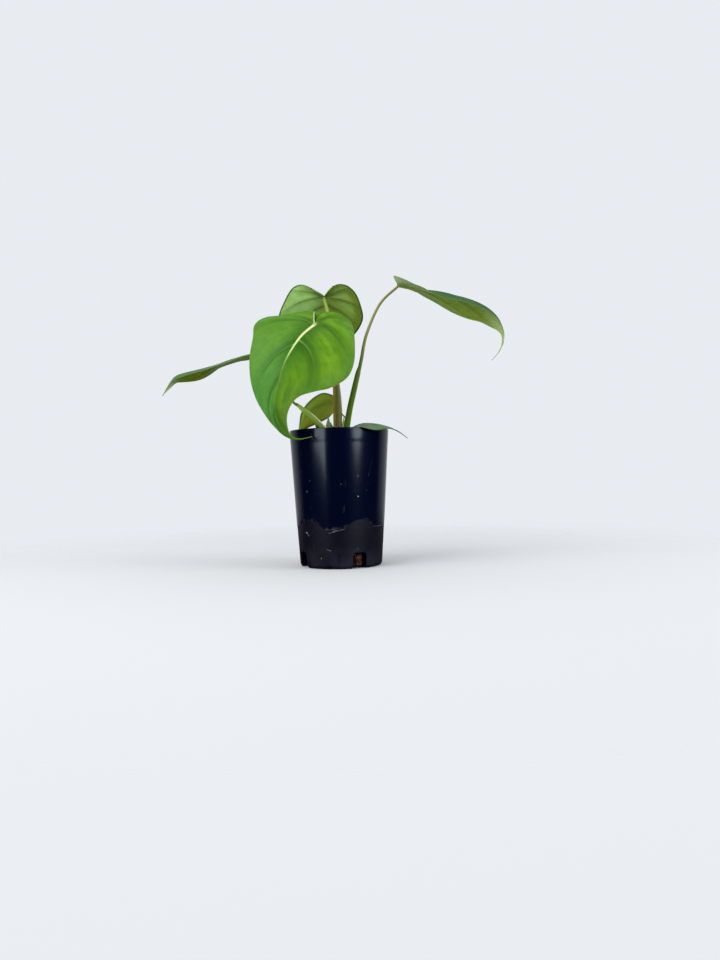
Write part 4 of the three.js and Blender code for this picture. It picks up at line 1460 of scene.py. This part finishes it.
right_sheath_tip = add_stalk(
    "right_leaf_sheath_tip",
    [(13.0, -1.3, 135.5), (14.2, -1.2, 141.5), (15.1, -1.1, 147.0)],
    [1.0, 0.9, 0.45],
    green_sheath,
    steps=20,
)
membrane = stalk_skin(
    "sheath_membrane",
    foot=(0.740, 0.800, 0.520),
    middle=(0.700, 0.780, 0.480),
    top=(0.400, 0.520, 0.200),
    streak=(0.800, 0.820, 0.620),
    roughness=0.6,
)
right_sheath_wing = add_stalk(
    "right_leaf_sheath_wing",
    [(2.9, -1.8, 92), (3.0, -1.8, 100), (3.4, -1.8, 106), (4.1, -1.9, 110.6)],
    [1.0, 1.0, 0.85, 0.3],
    membrane,
    steps=30,
)
right_sheath_hem = add_stalk(
    "right_leaf_sheath_hem",
    [(2.2, -2.6, 113.8), (3.6, -2.8, 111.6), (6.0, -2.9, 109.4)],
    [0.3, 0.5, 0.4],
    green_sheath,
    steps=20,
)
join_pieces(right_stalk, right_sheath, right_sheath_tip, right_sheath_wing, right_sheath_hem)
finish_piece(right_stalk, "green_stalk", "right_stalk")


# The left leaf
#
# It reaches out to the left, almost level, and is seen edge-on past the front leaf. Its stalk
# leaves the crown low and leans over, in a thick pale-edged sheath with a withered piece under it.
left_upper = leaf_skin(
    "left_leaf_upper",
    {
        "left": (0.060, 0.150, 0.036),
        "right": (0.060, 0.150, 0.036),
        "deep": (0.020, 0.075, 0.014),
        "patch": (0.070, 0.150, 0.040),
        "midrib": (0.45, 0.50, 0.22),
        "vein": (0.16, 0.28, 0.08),
        "edge": (0.10, 0.15, 0.04),
        "tail": (0.20, 0.27, 0.12),
    },
    glow=(0.30, 0.75, 0.03),
    through=0.1,
    roughness=0.45,
)
left_under = leaf_skin(
    "left_leaf_under",
    {
        "left": (0.112, 0.165, 0.001),
        "right": (0.118, 0.168, 0.001),
        "deep": (0.045, 0.060, 0.000),
        "patch": (0.185, 0.240, 0.006),
        "midrib": (0.18, 0.20, 0.03),
        "vein": (0.13, 0.16, 0.02),
        "edge": (0.12, 0.14, 0.01),
        "tail": (0.580, 0.640, 0.380),
    },
    glow=(0.40, 0.60, 0.01),
    through=0.08,
    roughness=0.50,
    shine=0.12,
    tail_strength=0.9,
)
left_blade = add_blade(
    "left_leaf_blade",
    left_upper,
    left_under,
    sinus=(-56.1, 12, 163.6),
    midrib=[
        (-57.6, 12, 163.4), (-68.1, 12, 161.5), (-77, 12, 159.3), (-85.7, 11, 156.1),
        (-96.8, 10.5, 153), (-108.1, 9.5, 150.1), (-117.7, 8, 147.6), (-124.3, 8, 145.3),
        (-128.9, 8, 140.2), (-134.8, 8, 130.2),
    ],
    left=[
        (-50.6, 24, 166.8), (-61.1, 31, 164.3), (-71.3, 32, 161.1), (-78.7, 31, 159.6),
        (-86.5, 30, 157.3), (-95.5, 27, 153.6), (-102.2, 24.5, 148.5), (-108, 22, 144.8),
        (-113.6, 19, 142.7), (-120.4, 15, 141.4), (-125.2, 12, 140.3), (-129.4, 9.5, 135.7),
    ],
    right=[
        (-48.4, 0, 163), (-55.7, -8, 158.6), (-64.9, -9, 156.7), (-73.4, -9, 154.7),
        (-82.2, -8, 152.2), (-91.8, -6, 149.7), (-99.8, -4, 147.4), (-108.6, -1.5, 145.4),
        (-117.8, 2, 143.7), (-124.8, 5, 141.8), (-129.7, 7, 136.9),
    ],
    left_veins=[(0.06, 0.10), (0.20, 0.26), (0.36, 0.46), (0.48, 0.62), (0.64, 0.80)],
    right_veins=[(0.06, 0.10), (0.20, 0.26), (0.36, 0.46), (0.48, 0.62), (0.64, 0.80)],
    arch=(0.06, 0.06),
    sweep=0.16,
    fan=0.36,
    quilt=0.4,
    wave=0.3,
)
finish_piece(left_blade, "leaf_green", "left_blade")
pale_sheath = stalk_skin(
    "pale_sheath",
    foot=(0.225, 0.300, 0.045),
    middle=(0.235, 0.400, 0.052),
    top=(0.260, 0.420, 0.045),
    streak=(0.460, 0.580, 0.150),
    roughness=0.45,
)
sheath_edge = stalk_skin(
    "sheath_edge",
    foot=(0.800, 0.840, 0.480),
    middle=(0.740, 0.800, 0.420),
    top=(0.500, 0.580, 0.240),
    streak=(0.800, 0.820, 0.520),
)
left_stalk = add_stalk(
    "left_leaf_stalk",
    [
        (-26.5, -0.3, 116.5), (-29.6, 0.4, 119.2), (-34, 2, 122.7), (-44.5, 6, 132.9),
        (-53.8, 10, 150.4), (-57.4, 11.9, 162.9),
    ],
    [1.05, 1.0, 0.95, 0.95, 0.95, 0.9],
    tan_stalk,
)
left_sheath = add_stalk(
    "left_leaf_sheath",
    [
        (-5.2, -2, 91), (-9.4, -1.2, 98.5), (-12.7, -0.5, 103.6), (-20, -1, 110.8),
        (-27, -0.2, 116.9), (-31.4, 0.9, 120.6),
    ],
    [2.3, 2.7, 2.5, 2.0, 1.5, 0.85],
    pale_sheath,
)
left_sheath_tip = add_stalk(
    "left_leaf_sheath_tip",
    [(-24.6, -0.4, 116.2), (-28.6, 0.2, 119.6), (-31.6, 0.7, 122.2)],
    [0.9, 0.8, 0.3],
    pale_sheath,
    steps=20,
)
left_sheath_edge = add_stalk(
    "left_leaf_sheath_edge",
    [
        (-9.4, -2.8, 102.4), (-12.4, -2.5, 105.8), (-17.8, -2.5, 111.3), (-22.3, -1.9, 115.2),
        (-25.8, -0.9, 118.0),
    ],
    [0.7, 0.65, 0.45, 0.3, 0.15],
    sheath_edge,
    steps=40,
)
withered = stalk_skin(
    "withered_sheath",
    foot=(0.070, 0.045, 0.010),
    middle=(0.060, 0.042, 0.008),
    top=(0.110, 0.100, 0.012),
    streak=(0.030, 0.018, 0.006),
    roughness=0.7,
)
left_sheath_hem = add_stalk(
    "left_leaf_sheath_hem",
    [(-11.0, -1.8, 96.5), (-14.6, -1.5, 101.0), (-16.4, -1.3, 103.8), (-17.6, -1.0, 106.0)],
    [1.6, 1.7, 1.2, 0.3],
    withered,
    steps=30,
)
join_pieces(left_stalk, left_sheath, left_sheath_tip, left_sheath_edge, left_sheath_hem)
finish_piece(left_stalk, "green_stalk", "left_stalk")


# The small young leaf
#
# The newest leaf, thin enough for light to come through it. It hangs to the left of the main stalks,
# a little behind them, with its upper face to the front.
# Painted light shining through the leaf: the border colour along its left margin and the tail colour at
# its tip.
small_upper = leaf_skin(
    "small_leaf_upper",
    {
        "left": (0.190, 0.330, 0.024),
        "right": (0.360, 0.430, 0.045),
        "lobe": (0.290, 0.300, 0.040),
        "deep": (0.270, 0.280, 0.030),
        "patch": (0.360, 0.300, 0.034),
        "midrib": (0.20, 0.22, 0.03),
        "vein": (0.16, 0.19, 0.02),
        "border": (0.420, 0.600, 0.080),
        "edge": (0.030, 0.095, 0.012),
        "tail": (0.480, 0.620, 0.080),
    },
    glow=(0.66, 0.82, 0.05),
    through=0.22,
    roughness=0.42,
    edge_width=1.6,
    edge_strength=0.8,
    lobe_strength=0.6,
    midrib_strength=0.35,
    vein_strength=0.25,
    furrow_strength=0.15,
    border_strength=0.7,
    border_side=-1.0,
)
small_under = leaf_skin(
    "small_leaf_under",
    {
        "left": (0.100, 0.150, 0.018),
        "right": (0.140, 0.190, 0.020),
        "deep": (0.090, 0.120, 0.015),
        "patch": (0.150, 0.170, 0.020),
        "midrib": (0.24, 0.30, 0.08),
        "vein": (0.17, 0.22, 0.05),
        "edge": (0.06, 0.12, 0.02),
        "tail": (0.22, 0.28, 0.04),
    },
    glow=(0.60, 0.78, 0.06),
    through=0.22,
    roughness=0.50,
)
small_blade = add_blade(
    "small_leaf_blade",
    small_upper,
    small_under,
    sinus=(-2.2, 10.5, 122.2),
    midrib=[
        (-3.7, 10, 121.8), (-10.5, 8, 121), (-18.1, 6.5, 117.9), (-24.3, 6, 112.7),
        (-28.7, 7, 106.7), (-31.7, 10, 100.1),
    ],
    left=[
        (-0.6, 10, 125.6), (-4.3, 9, 128.5), (-11.1, 7.5, 130.3), (-17.4, 6.5, 127.8),
        (-24.1, 5.5, 122.1), (-28.8, 6, 115), (-30.5, 8, 106.9),
    ],
    right=[
        (-0.7, 10, 118.7), (-3.8, 9.5, 115.7), (-8.1, 8.5, 111.1), (-16.1, 8, 107), (-23.1, 8, 104),
        (-27.8, 9, 101.7),
    ],
    left_veins=[(0.06, 0.10), (0.24, 0.32), (0.42, 0.56), (0.60, 0.78)],
    right_veins=[(0.06, 0.10), (0.24, 0.32), (0.42, 0.56), (0.60, 0.78)],
    arch=(0.12, 0.12),
    sweep=0.10,
    fan=0.36,
    quilt=0.2,
    wave=0.2,
    keel=KEEL / 2,
    rib=0.7,
)
finish_piece(small_blade, "young_leaf", "small_blade")
small_stalk = add_stalk(
    "small_leaf_stalk",
    [(-2.4, 7, 91), (-1.8, 9.5, 101), (-1.8, 12.2, 111), (-2.6, 12.6, 117.5), (-3.6, 10.4, 121.6)],
    [1.1, 1.05, 0.95, 0.85, 0.7],
    pale_sheath,
)
finish_piece(small_stalk, "green_stalk", "small_stalk")


# The rim leaf
#
# A small old leaf lying over the edge of the pot on a stalk so short that it stays inside. Its
# thin tip runs on past the rim.
# Painted shade: the lobe colour darkens the base of the blade, and the near half is darker than the far
# one.
rim_upper = leaf_skin(
    "rim_leaf_upper",
    {
        "left": (0.092, 0.165, 0.074),
        "right": (0.125, 0.205, 0.100),
        "deep": (0.030, 0.080, 0.022),
        "patch": (0.180, 0.265, 0.130),
        "midrib": (0.22, 0.30, 0.14),
        "vein": (0.13, 0.20, 0.09),
        "lobe": (0.016, 0.050, 0.022),
        "edge": (0.03, 0.08, 0.02),
        "tail": (0.110, 0.125, 0.045),
    },
    glow=(0.30, 0.70, 0.05),
    through=0.08,
    roughness=0.40,
    lobe_strength=0.85,
    tail_start=0.74,
    tail_strength=0.8,
)
rim_under = leaf_skin(
    "rim_leaf_under",
    {
        "left": (0.050, 0.090, 0.015),
        "right": (0.050, 0.090, 0.015),
        "deep": (0.035, 0.070, 0.010),
        "patch": (0.080, 0.130, 0.030),
        "midrib": (0.20, 0.25, 0.08),
        "vein": (0.12, 0.17, 0.05),
        "edge": (0.05, 0.10, 0.02),
        "tail": (0.20, 0.25, 0.10),
    },
    glow=(0.30, 0.70, 0.05),
    through=0.08,
    roughness=0.50,
)
rim_blade = add_blade(
    "rim_leaf_blade",
    rim_upper,
    rim_under,
    sinus=(7.8, -13.4, 100.9),
    midrib=[
        (8.5, -14, 101), (13, -17, 103.2), (18.4, -20, 104.4), (25.9, -23, 103.8),
        (31.6, -25, 102.4), (36.5, -27, 100.6), (42.8, -29, 97.7), (49.6, -31, 92.3),
    ],
    left=[
        (7.6, -22, 100.4), (10.1, -30, 100.7), (13.7, -34, 101), (17.9, -36, 100.2),
        (22.8, -36, 98.9), (28.4, -34, 98.5), (34.1, -32, 99.2), (38.4, -30.2, 99),
        (44, -30.5, 96.3),
    ],
    right=[
        (9.9, -7, 102.6), (14.4, -5, 104), (20.4, -6, 104.5), (27, -9.5, 104), (32.7, -15, 102.8),
        (37.5, -23, 100.7), (43.6, -28.5, 97.1),
    ],
    left_veins=[(0.06, 0.10), (0.24, 0.32), (0.42, 0.56), (0.60, 0.78)],
    right_veins=[(0.06, 0.10), (0.24, 0.32), (0.42, 0.56), (0.60, 0.78)],
    arch=(0.06, 0.06),
    sweep=0.10,
    fan=0.36,
    quilt=0.2,
    wave=0.2,
    keel=KEEL / 2,
    rib=0.8,
)
finish_piece(rim_blade, "dark_leaf", "rim_blade")
rim_stalk = add_stalk(
    "rim_leaf_stalk",
    [(4.2, -6.6, 91), (6, -9.5, 95.5), (7.6, -12.2, 98.4), (8.6, -14, 100.6)],
    [1.2, 1.2, 1.15, 1.0],
    green_sheath,
)
finish_piece(rim_stalk, "green_stalk", "rim_stalk")


# The dry scale leaf
#
# The papery scale that wrapped the last new leaf, split in two as the stalks pushed past it.
scale_skin = stalk_skin(
    "scale_skin",
    foot=(0.240, 0.360, 0.170),
    middle=(0.300, 0.450, 0.220),
    top=(0.360, 0.520, 0.280),
    streak=(0.200, 0.300, 0.150),
    roughness=0.6,
)
scale_long = add_stalk(
    "dry_scale_leaf",
    [(-7.2, 3.2, 91), (-8.0, 3.6, 98), (-8.1, 3.5, 104), (-7.9, 3.3, 111.2)],
    [1.6, 2.5, 2.1, 0.4],
    scale_skin,
    steps=40,
    flat=0.35,
)
scale_short = add_stalk(
    "dry_scale_short",
    [(-5.2, 5.6, 91), (-4.8, 5.4, 98), (-5.2, 4.8, 103), (-6.4, 4.0, 107.4)],
    [1.0, 1.3, 1.1, 0.2],
    scale_skin,
    steps=40,
    flat=0.4,
)
join_pieces(scale_long, scale_short)
finish_piece(scale_long, "scale_skin", "dry_scale")


# The studio
#
# A pale floor that fades out into a pale surround, one broad soft light high on the left, a weaker
# one on the right, and two small lights low in front that draw the streaks of shine on the pot.
FLOOR_HALF = 2000.0
COOL = (0.80, 0.90, 1.0)


def add_floor():
    """The floor is pale to the eye and dark in the shine of the pot."""
    made, tree, shader, place = new_material("studio_floor")
    shine = add_node(tree, "ShaderNodeLightPath").outputs["Is Glossy Ray"]
    colour = blend(tree, shine, (0.54, 0.55, 0.56, 1.0), (0.020, 0.017, 0.017, 1.0))
    tree.links.new(colour, shader.inputs["Base Color"])
    shader.inputs["Roughness"].default_value = 0.9
    shader.inputs["Specular IOR Level"].default_value = 0.1
    gone = fade(tree, vector_node(tree, "LENGTH", place), 0.12, 0.55)
    clear = add_node(tree, "ShaderNodeBsdfTransparent")
    both = mix_shaders(tree, gone, shader.outputs[0], clear.outputs[0])
    tree.links.new(both, tree.nodes["Material Output"].inputs["Surface"])
    corners = [(x * FLOOR_HALF, y * FLOOR_HALF, 0.0) for x, y in ((-1, -1), (1, -1), (1, 1), (-1, 1))]
    floor = add_mesh("studio_floor", corners, [(0, 1, 2, 3)])
    floor.data.materials.append(made)


def add_light(name, place, target, size, power, colour=(1.0, 1.0, 1.0), only=None, lean=None):
    """A soft light, oval, or square-cornered and leaning. It lights everything, or only one piece."""
    lamp = bpy.data.lights.new(name, "AREA")
    lamp.shape = "ELLIPSE" if lean is None else "RECTANGLE"
    lamp.size, lamp.size_y = size
    lamp.energy = power
    lamp.color = colour
    made = bpy.data.objects.new(name, lamp)
    made.location = place
    aim = Vector(target) - Vector(place)
    spin = Matrix.Rotation(math.radians(lean or 0.0), 3, "Z")
    made.rotation_euler = (aim.to_track_quat("-Z", "Y").to_matrix() @ spin).to_euler()
    made.visible_camera = False
    bpy.context.scene.collection.objects.link(made)
    if only:
        made.light_linking.receiver_collection = bpy.data.collections.new(name + "_reach")
        made.light_linking.receiver_collection.objects.link(only)
    return made


def light_surround():
    """The camera sees an even pale wall. The plant is lit by a pale surround that is a little cooler
    behind and above, and a shiny surface sees a dark room in front, a pale wall behind the plant and
    a grey ceiling.
    """
    world = bpy.data.worlds.new("studio_surround")
    bpy.context.scene.world = world
    world.use_nodes = True
    tree = world.node_tree
    tree.nodes.clear()
    facing = add_node(tree, "ShaderNodeTexCoord").outputs["Generated"]
    parts = add_node(tree, "ShaderNodeSeparateXYZ", {"Vector": facing})
    behind = fade(tree, parts.outputs["Y"], -0.35, 0.6)
    above = fade(tree, parts.outputs["Z"], -0.1, 0.9)
    soft = blend(tree, behind, (0.86, 0.86, 0.86, 1.0), (0.85, 0.87, 0.90, 1.0))
    soft = blend(tree, above, soft, (0.85, 0.88, 0.92, 1.0))
    walls = fade(tree, parts.outputs["Y"], 0.22, 0.58)
    ceiling = fade(tree, parts.outputs["Z"], 0.30, 0.95)
    mirrored = blend(tree, walls, (0.006, 0.008, 0.012, 1.0), (0.55, 0.57, 0.59, 1.0))
    mirrored = blend(tree, ceiling, mirrored, (0.29, 0.31, 0.34, 1.0))
    rays = add_node(tree, "ShaderNodeLightPath").outputs
    colour = blend(tree, rays["Is Glossy Ray"], soft, mirrored)
    room = add_node(tree, "ShaderNodeBackground", {"Color": colour, "Strength": 1.15})
    wall = add_node(tree, "ShaderNodeBackground", {"Color": (0.81, 0.84, 0.885, 1.0), "Strength": 1.0})
    both = mix_shaders(tree, rays["Is Camera Ray"], room.outputs[0], wall.outputs[0])
    out = add_node(tree, "ShaderNodeOutputWorld")
    tree.links.new(both, out.inputs["Surface"])


add_floor()
light_surround()
add_light("broad_left_light", (-0.75, -0.55, 0.80), (0.0, 0.0, 0.12), (1.0, 1.0), 10.0)
add_light("right_fill_light", (0.9, -0.3, 0.45), (0.0, 0.0, 0.12), (0.6, 0.6), 4.5)
add_light(
    "left_streak_light",
    place=(-0.336, -0.346, 0.132),
    target=(-0.013, -0.033, 0.08),
    size=(0.27, 0.16),
    power=2.05,
    colour=COOL,
    only=pot,
    lean=-14.0,
)
add_light(
    "right_streak_light",
    place=(0.323, -0.359, 0.160),
    target=(0.013, -0.033, 0.09),
    size=(0.28, 0.21),
    power=3.05,
    colour=COOL,
    only=pot,
)

lens = bpy.data.cameras.new("studio_camera")
lens.sensor_width = 36.0
lens.lens = 26.06
lens.clip_start = 0.01
camera = bpy.data.objects.new("studio_camera", lens)
camera.location = (0.0151, -0.5228, 0.0632)
camera.rotation_euler = (math.radians(90.0), math.radians(1.1), 0.0)
bpy.context.scene.collection.objects.link(camera)
bpy.context.scene.camera = camera
bpy.context.scene.view_settings.view_transform = "Standard"
